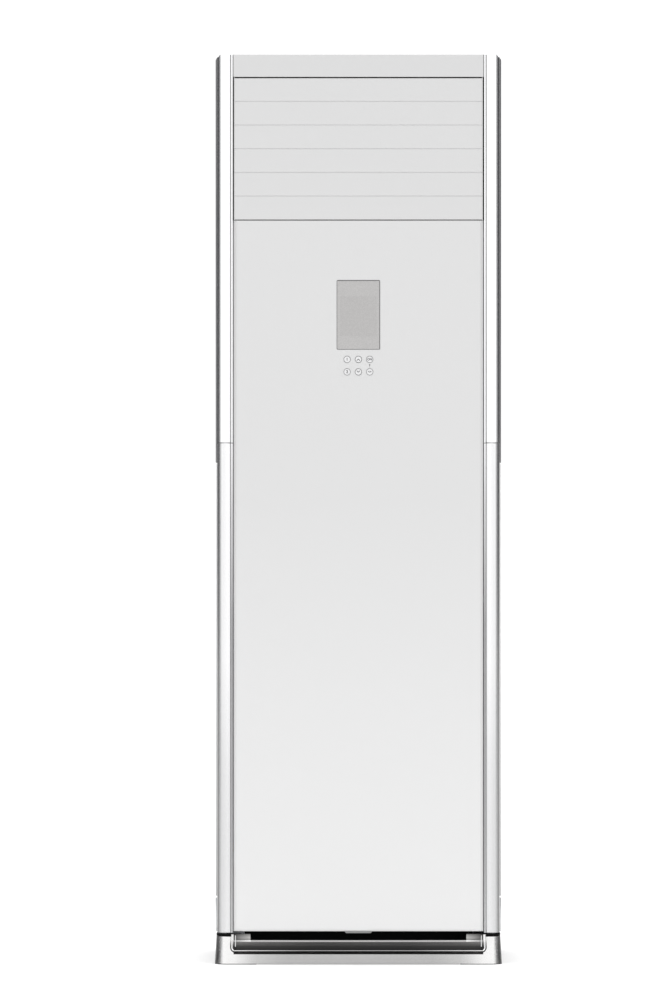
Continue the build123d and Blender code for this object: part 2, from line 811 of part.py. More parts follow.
def outlet_outline(inset):
    """Side outline of the outlet hood in (Y, Z), drawn in by inset, open below behind the throat."""
    front = face_y + outlet_floor_front
    low = outlet_floor_height + inset
    roof = outlet_roof_height + outlet_floor_sheet - inset
    rear = rear_inner - outlet_back_gap - inset
    radius = outlet_curve_radius - inset
    bend = radius / 2 ** 0.5
    centre_y = rear - radius
    centre_z = roof - radius
    return closed_outline(
        Line((front, low), (front, roof)),
        Line((front, roof), (centre_y, roof)),
        ThreePointArc((centre_y, roof), (centre_y + bend, centre_z + bend), (rear, centre_z)),
        Line((rear, centre_z), (rear, low)),
        Line((rear, low), (front, low)),
    )


def make_outlet_frame():
    """Curved hood that turns the air forward, with cheeks for the louver pins and panel hooks."""
    front = face_y + outlet_floor_front
    sheet = outlet_floor_sheet
    rear = rear_inner - outlet_back_gap
    skin = along_x(outlet_outline(0) - outlet_outline(sheet), -cheek_inner, cheek_inner)
    skin -= block(-cheek_inner - 1, cheek_inner + 1, throat_y, rear - sheet,
                  outlet_floor_height - 1, outlet_floor_height + sheet + 1)
    skin -= block(-cheek_inner - 1, cheek_inner + 1, front - 1, front + sheet,
                  outlet_floor_height + sheet, outlet_roof_height)
    frame = skin
    side = along_x(outlet_outline(0), cheek_inner, cheek_outer)
    side += block(cheek_inner, cheek_outer, column_front + 0.5, front + 1,
                  louver_bottom + 0.4, outlet_roof_height)
    side += block(cheek_inner, duct_half_width + duct_foam, throat_y, rear,
                  outlet_floor_height, outlet_floor_height + 1.5)
    frame += side + other_side(side)
    for index in range(louver_count):
        bore = rod_x(louver_pin_radius + pin_fit, cheek_inner - 1, cheek_outer + 1,
                     louver_pivot_y, louver_pivot_height(index))
        frame -= bore
        frame -= other_side(bore)
    for index in range(vane_count):
        frame -= rod_z(vane_pin_radius + pin_fit, outlet_floor_height - 1,
                       outlet_roof_height + sheet + 1, vane_x(index), vane_pivot_y)
    # lip under the front edge, with the two fingers that the door hangs on
    frame += block(-cheek_inner, cheek_inner, front, front + sheet,
                   outlet_floor_height - 7, outlet_floor_height + 0.5)
    for x in (-panel_hinge_x, panel_hinge_x):
        half = hinge_finger_width / 2
        frame += rod_x(hinge_eye_radius, x - half, x + half, hinge_y, hinge_height)
        frame += block(x - half, x + half, hinge_y, front + 1, hinge_height - 1.5, hinge_height + 1.5)
        frame -= rod_x(panel_hinge_pin_radius + pin_fit, x - half - 1, x + half + 1,
                       hinge_y, hinge_height)
    return frame


def make_louver_motor():
    """Small geared motor outside the right cheek, on the pivot of the top louver."""
    z = louver_pivot_height(0)
    y = louver_pivot_y + stepper_offset
    body = rod_x(stepper_radius, cheek_outer, cheek_outer + stepper_length, y, z)
    ears = Pos(y, z) * SlotOverall(2 * stepper_radius + 14, 8, rotation=90)
    body += along_x(ears, cheek_outer, cheek_outer + 1)
    body -= rod_x(louver_pin_radius + pin_fit, cheek_outer - 1, cheek_outer + 8 + seat_gap,
                  louver_pivot_y, z)
    return body


def make_vane_motor():
    """Small geared motor on the outlet roof, on the pivot of the first vane."""
    low = outlet_roof_height + outlet_floor_sheet
    x = vane_x(0)
    y = vane_pivot_y + stepper_offset
    body = rod_z(stepper_radius, low, low + stepper_length, x, y)
    body += along_z(Pos(x, y) * SlotOverall(2 * stepper_radius + 14, 8), low, low + 1)
    body -= rod_z(vane_pin_radius + pin_fit, low - 1, low + 8 + seat_gap, x, vane_pivot_y)
    return body


# ---- side intakes ----
def make_intake_grille():
    """Right intake door: hollow tray, rows of slots between ribs, hand grip, hinge pegs."""
    tray = block(intake_inner, intake_outer, intake_front, intake_rear, intake_bottom, intake_top)
    tray = chamfer(tray.edges().group_by(Axis.X)[-1], 1.2)
    wall = intake_skin
    tray -= block(intake_inner - 1, intake_outer - wall, intake_front + wall, intake_rear - wall,
                  intake_bottom + wall, intake_top - wall)
    slot_front = intake_front + slot_margin
    slot_rear = intake_rear - slot_margin
    column_length = (slot_rear - slot_front - (slot_columns - 1) * slot_bridge) / slot_columns
    row_pitch = rib_pitch / slots_per_rib
    slot_height = row_pitch - slot_bar
    cutters = []
    for row in range((rib_count - 1) * slots_per_rib):
        z = rib_first_height + row_pitch * (row + 0.5)
        for column in range(slot_columns):
            y = slot_front + column * (column_length + slot_bridge)
            cutters.append(block(intake_outer - wall - 1, intake_outer + 1, y, y + column_length,
                                 z - slot_height / 2, z + slot_height / 2))
    tray -= cutters
    ribs = []
    for row in range(rib_count):
        z = rib_first_height + row * rib_pitch
        ribs.append(block(intake_outer - 0.5, intake_outer + rib_proud, slot_front - 4, slot_rear + 4,
                          z - rib_width / 2, z + rib_width / 2))
    tray += ribs
    # hand grip pressed into the top of the door
    grip_length = intake_rear - intake_front - 2 * grip_margin
    grip_z = intake_top - grip_drop / 2
    grip = Pos((intake_front + intake_rear) / 2, grip_z) * RectangleRounded(
        grip_length, grip_recess_height, grip_radius)
    pocket = Pos((intake_front + intake_rear) / 2, grip_z) * RectangleRounded(
        grip_length + 2 * wall, grip_recess_height + 2 * wall, grip_radius + wall)
    tray += along_x(pocket, intake_outer - grip_recess_depth, intake_outer - wall)
    tray -= along_x(grip, intake_outer - grip_recess_depth + wall, intake_outer + 1)
    # hinge pegs at the lower corners
    peg_end = intake_edge_gap + side_sheet
    for low, high in ((intake_front - peg_end, intake_front + 1), (intake_rear - 1, intake_rear + peg_end)):
        tray += rod_y(intake_pin_radius, low, high, intake_pin_x, intake_pin_height)
    # hooked clips that the filter slides in, and the ledge that it stands on
    clip_inner = filter_inner - seat_gap - 2
    clip_pitch = (filter_height - 2 * clip_length) / (clip_rows - 1)
    for row in range(clip_rows):
        low = filter_bottom + clip_length / 2 + row * clip_pitch
        for edge, inward in ((filter_front, 1), (filter_rear, -1)):
            wall_y = edge - inward * seat_gap
            root_low, root_high = sorted((wall_y, wall_y - inward * 2))
            tip_low, tip_high = sorted((wall_y - inward * 2, edge + inward * 5))
            side_low, side_high = sorted((wall_y - inward * 2, intake_front + wall - 1
                                          if inward > 0 else intake_rear - wall + 1))
            tray += block(clip_inner, intake_inner + 4, root_low, root_high, low, low + clip_length)
            tray += block(clip_inner, clip_inner + 2, tip_low, tip_high, low, low + clip_length)
            tray += block(intake_inner, intake_inner + 4, side_low, side_high, low, low + clip_length)
    tray += block(filter_inner, intake_inner + 4, filter_front + 40, filter_rear - 40,
                  filter_bottom - seat_gap - 3, filter_bottom - seat_gap)
    tray += block(intake_inner, intake_outer - wall, filter_front + 40, filter_rear - 40,
                  intake_bottom + 1, filter_bottom - seat_gap)
    return tray


def make_filter():
    """Right dust filter: ribbed frame round a thin net, with a pull lip on top."""
    top = filter_bottom + filter_height
    frame = block(filter_inner, filter_outer, filter_front, filter_rear, filter_bottom, top)
    middle_x = (filter_inner + filter_outer) / 2
    rim = filter_frame
    row_pitch = (filter_height - rim) / filter_rib_rows
    middle_y = (filter_front + filter_rear) / 2
    cutters = []
    for row in range(filter_rib_rows):
        low = filter_bottom + rim + row * row_pitch
        high = low + row_pitch - rim
        for y_low, y_high in ((filter_front + rim, middle_y - rim / 2),
                              (middle_y + rim / 2, filter_rear - rim)):
            cutters.append(block(filter_inner - 1, middle_x - filter_net / 2, y_low, y_high, low, high))
            cutters.append(block(middle_x + filter_net / 2, filter_outer + 1, y_low, y_high, low, high))
    return frame - cutters


# ---- blower section ----
def make_mid_deck():
    """Steel shelf between the blower room and the duct above, with the air and pipe holes."""
    half = duct_half_width + duct_foam
    front = duct_front - 55
    deck = block(-half, half, front, rear_inner, deck_height, deck_height + deck_sheet)
    deck += block(-half, half, front, front + deck_sheet, deck_height - 16, deck_height)
    deck -= block(duct_left_x, scroll_end_radius - scroll_wall, scroll_front + scroll_wall,
                  scroll_rear - scroll_wall, deck_height - 1, deck_height + deck_sheet + 1)
    for x, y, radius in pipe_places():
        deck -= rod_z(radius + seat_gap, deck_height - 1, deck_height + deck_sheet + 1, x, y)
    hose_x, hose_y = hose_place()
    deck -= rod_z(hose_radius() + seat_gap, deck_height - 1, deck_height + deck_sheet + 1, hose_x, hose_y)
    return deck


def scroll_outline(inset):
    """Spiral outline in (X, Z) with its upright discharge neck, drawn in by inset but open on top."""
    points = []
    tangents = []
    for step in range(scroll_spline_points):
        turn = radians(360 - scroll_tongue_angle) * step / (scroll_spline_points - 1)
        radius = scroll_start_radius * exp(scroll_growth * turn) - inset
        angle = radians(scroll_tongue_angle) + turn
        points.append((radius * cos(angle), wheel_height + radius * sin(angle)))
        tangents.append((scroll_growth * cos(angle) - sin(angle), scroll_growth * sin(angle) + cos(angle)))
    start = points[0]
    end = points[-1]
    left = duct_left_x + inset
    top = deck_height + inset
    neck = [end, (end[0], top), (left, top), (left, start[1] - inset)]
    if inset:
        neck.append(start)
    return closed_outline(
        Spline(*points, tangents=tangents),
        Polyline(*neck),
    )


def make_scroll_wall():
    """Rolled wall of the spiral casing, open at the neck."""
    outline = scroll_outline(0) - scroll_outline(scroll_wall)
    return along_y(outline, scroll_front + scroll_wall, scroll_rear - scroll_wall)


def make_scroll_front_plate():
    """Front side plate of the casing, with the round eye."""
    plate = along_y(scroll_outline(0), scroll_front, scroll_front + scroll_wall)
    return plate - rod_y(eye_radius, scroll_front - 1, scroll_front + scroll_wall + 1, 0, wheel_height)


def make_scroll_rear_plate():
    """Rear side plate with the motor hole, and the feet that stand on the chassis plate."""
    floor = chassis_height + chassis_sheet
    plate = along_y(scroll_outline(0), scroll_rear - scroll_wall, scroll_rear)
    plate -= rod_y(motor_hole_radius, scroll_rear - scroll_wall - 1, scroll_rear + 1, 0, wheel_height)
    half = scroll_foot_width / 2
    for x in (-scroll_foot_x, scroll_foot_x):
        plate += block(x - half, x + half, scroll_rear, scroll_rear + scroll_wall,
                       floor, wheel_height - 100)
        plate += block(x - half, x + half, scroll_rear - 25, scroll_rear + scroll_wall, floor, floor + 2)
    return plate


def revolve_about_blower(outline):
    """Turn an outline drawn in (radius, Y) about the blower's axis."""
    placed = Pos(0, 0, wheel_height) * (Plane.XY * outline)
    return revolve(placed, axis=Axis((0, 0, wheel_height), (0, 1, 0)))


def make_inlet_bellmouth():
    """Flared ring that leads the air into the wheel."""
    wall = bellmouth_wall
    front = scroll_front - wall
    throat = bellmouth_throat
    lip = scroll_front + bellmouth_reach
    turn = eye_radius - 4
    outline = closed_outline(
        Line((bellmouth_flange_radius, front), (bellmouth_flange_radius, scroll_front)),
        Line((bellmouth_flange_radius, scroll_front), (turn, scroll_front)),
        TangentArc((turn, scroll_front), (throat + wall, lip), tangent=(-1, 0.4)),
        Line((throat + wall, lip), (throat, lip)),
        TangentArc((turn - wall, front), (throat, lip), tangent=(-1, 0.4)),
        Line((turn - wall, front), (bellmouth_flange_radius, front)),
    )
    return revolve_about_blower(outline)


def make_blower_dish():
    """Dished back plate of the wheel, with the hub that the shaft goes into."""
    plate = wheel_plate
    rear = wheel_rear
    disc = Pos(wheel_radius / 2 + wheel_cone_radius / 2, rear - plate / 2) * Rectangle(
        wheel_radius - wheel_cone_radius, plate)
    cone_tip = wheel_cone_radius - 8
    cone = make_face(Polyline((wheel_cone_radius + plate, rear), (wheel_cone_radius, rear),
                              (cone_tip, wheel_cone_front), (cone_tip + plate, wheel_cone_front),
                              close=True))
    hub_disc = Pos((cone_tip + plate + shaft_radius) / 2, wheel_cone_front + plate / 2) * Rectangle(
        cone_tip + plate - shaft_radius, plate)
    boss = Pos((hub_radius + shaft_radius) / 2, wheel_cone_front - hub_length / 2 + 6) * Rectangle(
        hub_radius - shaft_radius, hub_length)
    return revolve_about_blower(disc + cone + hub_disc + boss)


def make_blower_wheel():
    """Row of forward-curved blades behind a front ring, welded to the dish."""
    ring_inner = wheel_radius - blade_length + 4
    ring = Pos((wheel_radius + ring_inner) / 2, wheel_front + wheel_ring / 2) * Rectangle(
        wheel_radius - ring_inner, wheel_ring)
    # one blade, bowed forward, then the full row round the axis
    inner = wheel_radius - blade_length
    outer = wheel_radius - 0.6
    sagitta = blade_length * 0.32
    lead = blade_length * 0.375
    middle = (inner + outer) / 2
    face_arc = ThreePointArc((inner, 0), (middle, lead / 2 - sagitta), (outer, lead))
    back_arc = ThreePointArc((outer, lead + blade_thickness), (middle, lead / 2 - sagitta + blade_thickness),
                             (inner, blade_thickness))
    blade = closed_outline(face_arc, Line((outer, lead), (outer, lead + blade_thickness)),
                           back_arc, Line((inner, blade_thickness), (inner, 0)))
    blades = []
    for index in range(blade_count):
        turned = Rot(0, 0, index * 360 / blade_count) * blade
        blades.append(along_y(Pos(0, wheel_height) * turned, wheel_front + wheel_ring - 1,
                              wheel_rear - wheel_plate))
    return revolve_about_blower(ring) + blades


def make_blower_shaft():
    """Steel shaft from the hub into the motor."""
    shaft = rod_y(shaft_radius, wheel_cone_front - hub_length + 2, motor_front + motor_shaft_depth, 0, wheel_height)
    return chamfer(shaft.edges().group_by(Axis.Y)[0], 1.0)


def make_fan_motor():
    """Round motor that sits inside the dish of the wheel."""
    body = rod_y(motor_radius, motor_front, scroll_rear, 0, wheel_height)
    body = fillet(body.edges().filter_by(GeomType.CIRCLE).group_by(Axis.Y)[0], 8)
    body -= rod_y(shaft_radius + pin_fit, motor_front - 1, motor_front + motor_shaft_depth + 4, 0, wheel_height)
    for index in range(3):
        groove_y = motor_front + 30 + index * 14
        ring = rod_y(motor_radius + 1, groove_y, groove_y + 5, 0, wheel_height)
        ring -= rod_y(motor_radius - 3, groove_y - 1, groove_y + 6, 0, wheel_height)
        body -= ring
    return body


def make_motor_bracket():
    """Round plate on the back of the casing that carries the motor."""
    plate = rod_y(motor_plate_radius, scroll_rear, scroll_rear + motor_plate, 0, wheel_height)
    for index in range(6):
        slot = Pos(0, wheel_height) * Rot(0, 0, index * 60) * Pos(45, 0) * SlotOverall(34, 10)
        plate -= along_y(slot, scroll_rear - 1, scroll_rear + motor_plate + 1)
    return plate


# ---- heat exchanger section ----
def make_duct_liner():
    """Foam duct walls: front wall and two sides, against the rear sheet."""
    low = deck_height + deck_sheet
    outer = duct_half_width + duct_foam
    wall = block(-outer, outer, duct_front, duct_front + duct_front_thickness, low, outlet_floor_height)
    for x in (-outer, duct_half_width):
        wall += block(x, x + duct_foam, duct_front, rear_inner, low, outlet_floor_height)
    # raised bands that stiffen the front wall above the control box
    band_low = control_bottom + control_height + 40
    band_high = outlet_floor_height - 50
    for index in range(4):
        z = band_low + (band_high - 30 - band_low) * index / 3
        wall += block(-outer + 30, outer - 30, duct_front - 4, duct_front, z, z + 30)
    return wall


def coil_place():
    """Frame of the slanted coil: local X across, local Y through it, local Z along its slope."""
    return Pos(0, coil_low_y, coil_low_height) * Rot(-coil_tilt, 0, 0)


def make_evaporator_fins():
    """Finned block of the slanted coil, with its gaps cut in both faces."""
    half = coil_width / 2
    deep = coil_thickness / 2
    fins = block(-half, half, -deep, deep, 0, coil_length)
    cutters = []
    pitch = coil_width / coil_groove_count
    for index in range(coil_groove_count):
        x = -half + pitch * (index + 0.5)
        for y in (-deep - 1, deep - coil_groove_depth):
            cutters.append(block(x - pitch / 5, x + pitch / 5, y, y + coil_groove_depth + 1,
                                 -1, coil_length + 1))
    return coil_place() * (fins - cutters)


def make_coil_end_plates():
    """Sheet plates that hold the two ends of the coil."""
    half = coil_width / 2
    deep = coil_thickness / 2 + 3
    plates = []
    for low, high in ((-half - coil_plate, -half), (half, half + coil_plate)):
        plates.append(coil_place() * block(low, high, -deep, deep, 6, coil_length + 3))
    return plates


def make_evaporator_tubes():
    """Return bends on the right of the coil, gas and liquid lines on its left."""
    tubes = []
    face = coil_width / 2 + coil_plate
    pitch = coil_length / tube_rows
    bend = pitch / 7
    for row in range(tube_rows):
        z = pitch * (row + 0.5)
        for y in (-coil_thickness / 4, coil_thickness / 4):
            path = FilletPolyline((face, y, z - bend), (face + bend + 3, y, z - bend),
                                  (face + bend + 3, y, z + bend), (face, y, z + bend),
                                  radius=bend * 0.96)
            tubes.append(coil_place() * sweep(Plane(origin=path @ 0, z_dir=path % 0) * Circle(tube_radius),
                                              path=path))
    slope = radians(coil_tilt)
    for (x, y, radius), share in zip(pipe_places(), (0.55, 0.88)):
        start_y = coil_low_y + coil_length * share * sin(slope)
        start_z = coil_low_height + coil_length * share * cos(slope)
        path = FilletPolyline((-face, start_y, start_z), (x, start_y, start_z), (x, y, start_z),
                              (x, y, deck_height + 42), radius=(-x - face) * 0.9)
        tubes.append(sweep(Plane(origin=path @ 0, z_dir=path % 0) * Circle(radius), path=path))
    return tubes


def pipe_places():
    """Gas and liquid lines where they run down the rear left corner: x, y, radius."""
    x = -(duct_half_width - gas_pipe_radius - 2)
    return ((x, pipe_y - 8, gas_pipe_radius), (x, pipe_y + 19, liquid_pipe_radius))


def make_refrigerant_pipes():
    """Lower lengths of both lines, down to their flare nuts over the pipe hole."""
    pipes = []
    end = pipe_hole_height + pipe_hole_radius + flare_nut_gap
    for x, y, radius in pipe_places():
        line = rod_z(radius, end, deck_height + 42, x, y)
        line += along_z(Pos(x, y) * RegularPolygon(radius + 5, 6), end + 4, end + 26)
        pipes.append(line)
    return pipes


def coil_lowest():
    """Height of the lowest corner of the coil."""
    return coil_low_height - coil_thickness / 2 * sin(radians(coil_tilt))


def make_drain_pan():
    """Tray under the low end of the coil, with a ledge for the coil and a drain spout."""
    half = duct_half_width - seat_gap
    low = coil_lowest() - pan_depth + 4
    high = low + pan_depth
    pan = block(-half, half, pan_front, pan_rear, low, high)
    pan -= block(-half + pan_wall, half - pan_wall, pan_front + pan_wall, pan_rear - pan_wall,
                 low + pan_wall, high + 1)
    slope = radians(coil_tilt)
    corner_y = coil_low_y + coil_thickness / 2 * cos(slope)
    pan += block(-half + 40, half - 40, corner_y - 8, corner_y + 8, low + 1, coil_lowest() - seat_gap)
    x, y = hose_place()
    spout = hose_radius() - 2
    pan += rod_z(spout, low - 14, low + 1, x, y)
    pan -= rod_z(spout - 2, low - 15, low + pan_wall + 1, x, y)
    return pan


def hose_place():
    """Drain hose in plan."""
    return -duct_half_width + 36, pan_front + 24


def hose_radius():
    return gas_pipe_radius + 2


def make_drain_hose():
    """Straight drop of drain hose from the pan's spout to the bottom of the blower room."""
    x, y = hose_place()
    top = coil_lowest() - pan_depth + 4 - seat_gap
    bottom = chassis_height + chassis_sheet + 60
    bore = hose_radius() - 2 + seat_gap
    hose = rod_z(hose_radius(), bottom, top, x, y)
    return hose - rod_z(bore, bottom - 1, top + 1, x, y)


def make_control_box():
    """Sheet metal box for the electronics on the front of the duct, with a flanged lid."""
    half = control_width / 2
    front = duct_front - control_depth
    top = control_bottom + control_height
    box = block(-half, half, front, duct_front, control_bottom, top)
    box = fillet(box.edges().filter_by(Axis.Z).group_by(Axis.Y)[0], 3)
    box -= block(-half + control_sheet, half - control_sheet, front + control_sheet,
                 duct_front - control_sheet, control_bottom + control_sheet, top - control_sheet)
    lid = block(-half - 5, half + 5, front + 9, front + 9 + control_sheet,
                control_bottom - 5, top + 5)
    lid -= block(-half + 1, half - 1, front, front + 20, control_bottom + 1, top - 1)
    box += lid
    # cooling slots and the cable opening
    for index in range(8):
        x = -half + 40 + index * (control_width - 80) / 7
        slot = Pos(x, top - 40) * SlotOverall(44, 6, rotation=90)
        box -= along_y(slot, front - 1, front + control_sheet + 1)
    box -= rod_z(12, control_bottom - 1, control_bottom + control_sheet + 1, half - 40,
                 front + control_depth / 2)
    return box


# ---- all pieces, by node name ----
def all_pieces():
    column_upper = make_column_upper()
    column_lower = make_column_lower()
    trim = make_trim_strip()
    side = make_side_panel()
    grille = make_intake_grille()
    dust_filter = make_filter()
    pieces = {
        "base_plinth": make_base_plinth(),
        "foot_pads": make_foot_pads(),
        "chassis_plate": make_chassis_plate(),
        "left_column_upper": other_side(column_upper),
        "right_column_upper": column_upper,
        "left_column_lower": other_side(column_lower),
        "right_column_lower": column_lower,
        "left_trim_strip": other_side(trim),
        "right_trim_strip": trim,
        "left_side_panel": other_side(side),
        "right_side_panel": side,
        "rear_panel": make_rear_panel(),
        "top_cap": make_top_cap(),
        "front_panel": make_front_panel(),
        "panel_pull_tab": make_panel_pull_tab(),
        "display_lens": make_display_lens(),
        "display_board": make_display_board(),
        "outlet_frame": make_outlet_frame(),
        "louver_link": make_louver_link(),
        "louver_motor": make_louver_motor(),
        "vane_link": make_vane_link(),
        "vane_motor": make_vane_motor(),
        "left_intake_grille": other_side(grille),
        "right_intake_grille": grille,
        "left_filter": other_side(dust_filter),
        "right_filter": dust_filter,
        "mid_deck": make_mid_deck(),
        "scroll_wall": make_scroll_wall(),
        "scroll_front_plate": make_scroll_front_plate(),
        "scroll_rear_plate": make_scroll_rear_plate(),
        "inlet_bellmouth": make_inlet_bellmouth(),
        "blower_wheel": make_blower_wheel(),
        "blower_dish": make_blower_dish(),
        "blower_shaft": make_blower_shaft(),
        "fan_motor": make_fan_motor(),
        "motor_bracket": make_motor_bracket(),
        "duct_liner": make_duct_liner(),
        "evaporator_fins": make_evaporator_fins(),
        "coil_end_plates": make_coil_end_plates(),
        "evaporator_tubes": make_evaporator_tubes(),
        "refrigerant_pipes": make_refrigerant_pipes(),
        "drain_pan": make_drain_pan(),
        "drain_hose": make_drain_hose(),
        "control_box": make_control_box(),
    }
    for name, (x, z) in button_places().items():
        pieces[name] = make_button(x, z)
    for index in range(louver_count):
        pieces[f"louver_{index + 1}"] = make_louver(index)
    for index in range(vane_count):
        pieces[f"vane_{index + 1}"] = make_vane(index)
    return pieces


def all_solids(shape):
    """Separate solids of a piece, or of a list of pieces."""
    if isinstance(shape, list):
        return [solid for part in shape for solid in part.solids()]
    return list(shape.solids())


os.makedirs("parts", exist_ok=True)
for name, piece in all_pieces().items():
    solids = all_solids(piece)
    whole = solids[0] if len(solids) == 1 else Compound(children=solids)
    export_step(whole, f"parts/{name}.step")
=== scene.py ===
import json
import math

import bmesh
import bpy
from mathutils import Matrix, Vector

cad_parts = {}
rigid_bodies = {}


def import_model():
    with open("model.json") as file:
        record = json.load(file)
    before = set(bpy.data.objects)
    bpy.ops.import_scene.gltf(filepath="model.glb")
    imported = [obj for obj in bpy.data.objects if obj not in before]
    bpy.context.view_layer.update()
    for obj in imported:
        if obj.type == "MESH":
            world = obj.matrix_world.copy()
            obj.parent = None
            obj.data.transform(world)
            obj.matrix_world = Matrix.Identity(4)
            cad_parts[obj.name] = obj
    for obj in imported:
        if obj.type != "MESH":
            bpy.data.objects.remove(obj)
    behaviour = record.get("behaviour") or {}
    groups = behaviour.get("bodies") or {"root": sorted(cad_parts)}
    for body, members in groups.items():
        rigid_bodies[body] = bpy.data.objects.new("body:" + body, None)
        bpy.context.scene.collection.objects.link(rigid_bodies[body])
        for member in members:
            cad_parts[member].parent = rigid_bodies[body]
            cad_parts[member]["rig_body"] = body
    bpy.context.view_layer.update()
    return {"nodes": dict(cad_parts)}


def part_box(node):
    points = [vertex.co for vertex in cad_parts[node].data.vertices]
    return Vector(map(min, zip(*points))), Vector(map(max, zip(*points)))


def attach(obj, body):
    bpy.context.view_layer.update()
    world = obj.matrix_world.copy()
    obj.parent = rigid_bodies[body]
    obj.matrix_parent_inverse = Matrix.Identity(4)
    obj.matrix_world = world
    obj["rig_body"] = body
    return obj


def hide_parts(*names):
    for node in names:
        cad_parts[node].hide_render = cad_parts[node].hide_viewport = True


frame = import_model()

cadNodes = frame["nodes"]
hands = ((-1, "left"), (1, "right"))
scene = bpy.context.scene
scene.view_settings.view_transform = "Standard"
print("frame loaded:", len(cadNodes), "nodes")


# camera first: square on to the front, long lens, at mid height
cameraLook = {
    "distance": 12.0,          # from the door's face
    "height": 0.954,
    "pixelSize": 0.002055,     # metres on the door's face for one photo pixel
    "photoHeight": 1000,
    "axisPixel": 358.4,        # where the cabinet's middle stands in the photo
    "photoMiddle": 333.5,
    "sensor": 36.0,
    "farEnd": 60,
}


def addCamera(look):
    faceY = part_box("front_panel")[0].y
    data = bpy.data.cameras.new("frontCamera")
    data.sensor_width = look["sensor"]
    data.lens = look["distance"] * look["sensor"] / (look["pixelSize"] * look["photoHeight"])
    data.shift_x = (look["photoMiddle"] - look["axisPixel"]) / look["photoHeight"]
    data.clip_end = look["farEnd"]
    camera = bpy.data.objects.new("frontCamera", data)
    camera.location = (0, faceY - look["distance"], look["height"])
    camera.rotation_euler = (math.radians(90), 0, 0)
    scene.collection.objects.link(camera)
    scene.camera = camera


addCamera(cameraLook)


# nodes that the materials share
def newMaterial(name):
    material = bpy.data.materials.new(name)
    material.use_nodes = True
    tree = material.node_tree
    shader = tree.nodes["Principled BSDF"]
    return material, tree, shader


def addNode(tree, kind, **settings):
    node = tree.nodes.new(kind)
    for key, value in settings.items():
        if key in node.inputs:
            node.inputs[key].default_value = value
        else:
            setattr(node, key, value)
    return node


def objectNoise(tree, size, detail=3.0, stretch=(1, 1, 1)):
    # noise on the piece's own coordinates; size is the width of one blotch in metres
    coords = addNode(tree, "ShaderNodeTexCoord")
    mapping = addNode(tree, "ShaderNodeMapping")
    mapping.inputs["Scale"].default_value = stretch
    noise = addNode(tree, "ShaderNodeTexNoise")
    noise.inputs["Scale"].default_value = 1 / size
    noise.inputs["Detail"].default_value = detail
    tree.links.new(coords.outputs["Object"], mapping.inputs["Vector"])
    tree.links.new(mapping.outputs["Vector"], noise.inputs["Vector"])
    return noise.outputs["Fac"]


noiseRange = (0.3, 0.7)        # most of a noise's values lie between these


def spread(tree, fac, low, high):
    # brings the usual range of a noise to the range from low to high
    ramp = addNode(tree, "ShaderNodeMapRange")
    ramp.inputs["From Min"].default_value = noiseRange[0]
    ramp.inputs["From Max"].default_value = noiseRange[1]
    ramp.inputs["To Min"].default_value = low
    ramp.inputs["To Max"].default_value = high
    tree.links.new(fac, ramp.inputs["Value"])
    return ramp.outputs["Result"]


def tinted(tree, fac, dark, light):
    mix = addNode(tree, "ShaderNodeMix", data_type="RGBA")
    mix.inputs["A"].default_value = (*dark, 1)
    mix.inputs["B"].default_value = (*light, 1)
    tree.links.new(fac, mix.inputs["Factor"])
    return mix.outputs["Result"]


def addBump(tree, shader, height, strength, distance):
    bump = addNode(tree, "ShaderNodeBump")
    bump.inputs["Strength"].default_value = strength
    bump.inputs["Distance"].default_value = distance
    tree.links.new(height, bump.inputs["Height"])
    tree.links.new(bump.outputs["Normal"], shader.inputs["Normal"])


def upFade(start, end, *shares):
    # painted shade up a piece: what share of a finish's colour is left at places between two heights
    return {"axis": "Z", "start": start, "end": end, "shares": shares}


def outFade(start, end, *shares):
    # the same painted shade from the unit's middle outwards, alike on both sides
    return {"axis": "X", "start": start, "end": end, "shares": shares}


def shadeAlong(tree, colour, look):
    # painted shade: darkens a colour along one axis of the piece, from one place to another
    coords = addNode(tree, "ShaderNodeTexCoord")
    split = addNode(tree, "ShaderNodeSeparateXYZ")
    tree.links.new(coords.outputs["Object"], split.inputs["Vector"])
    place = split.outputs[look["axis"]]
    if look["axis"] == "X":
        both = addNode(tree, "ShaderNodeMath", operation="ABSOLUTE")
        tree.links.new(place, both.inputs[0])
        place = both.outputs["Value"]
    ramp = addNode(tree, "ShaderNodeValToRGB")
    fade = addNode(tree, "ShaderNodeMapRange")
    fade.inputs["From Min"].default_value = look["start"]
    fade.inputs["From Max"].default_value = look["end"]
    tree.links.new(place, fade.inputs["Value"])
    tree.links.new(fade.outputs["Result"], ramp.inputs["Fac"])
    stops = ramp.color_ramp.elements
    shares = look["shares"]
    while len(stops) < len(shares):
        stops.new(0.5)
    for stop, (position, share) in zip(stops, shares):
        stop.position = position
        stop.color = (share, share, share, 1)
    mix = addNode(tree, "ShaderNodeMix", data_type="RGBA", blend_type="MULTIPLY")
    mix.inputs["Factor"].default_value = 1
    tree.links.new(colour, mix.inputs["A"])
    tree.links.new(ramp.outputs["Color"], mix.inputs["B"])
    return mix.outputs["Result"]


# what a finish has where its own entry says nothing else
usualFinish = {
    "drift": 0.03,             # how far the colour drifts to each side
    "blotch": 0.12,            # width of one blotch
    "grain": 0.0015,           # width of one grain of the surface
    "stretch": (1, 1, 1),
    "uneven": 0.12,            # how far the roughness varies, as a share
    "bump": 0.1,
    "relief": 0.0002,
    "metal": 0,
    "coat": 0,
    "coatRough": 0.08,
    "specular": 0.5,
    "fades": (),
}


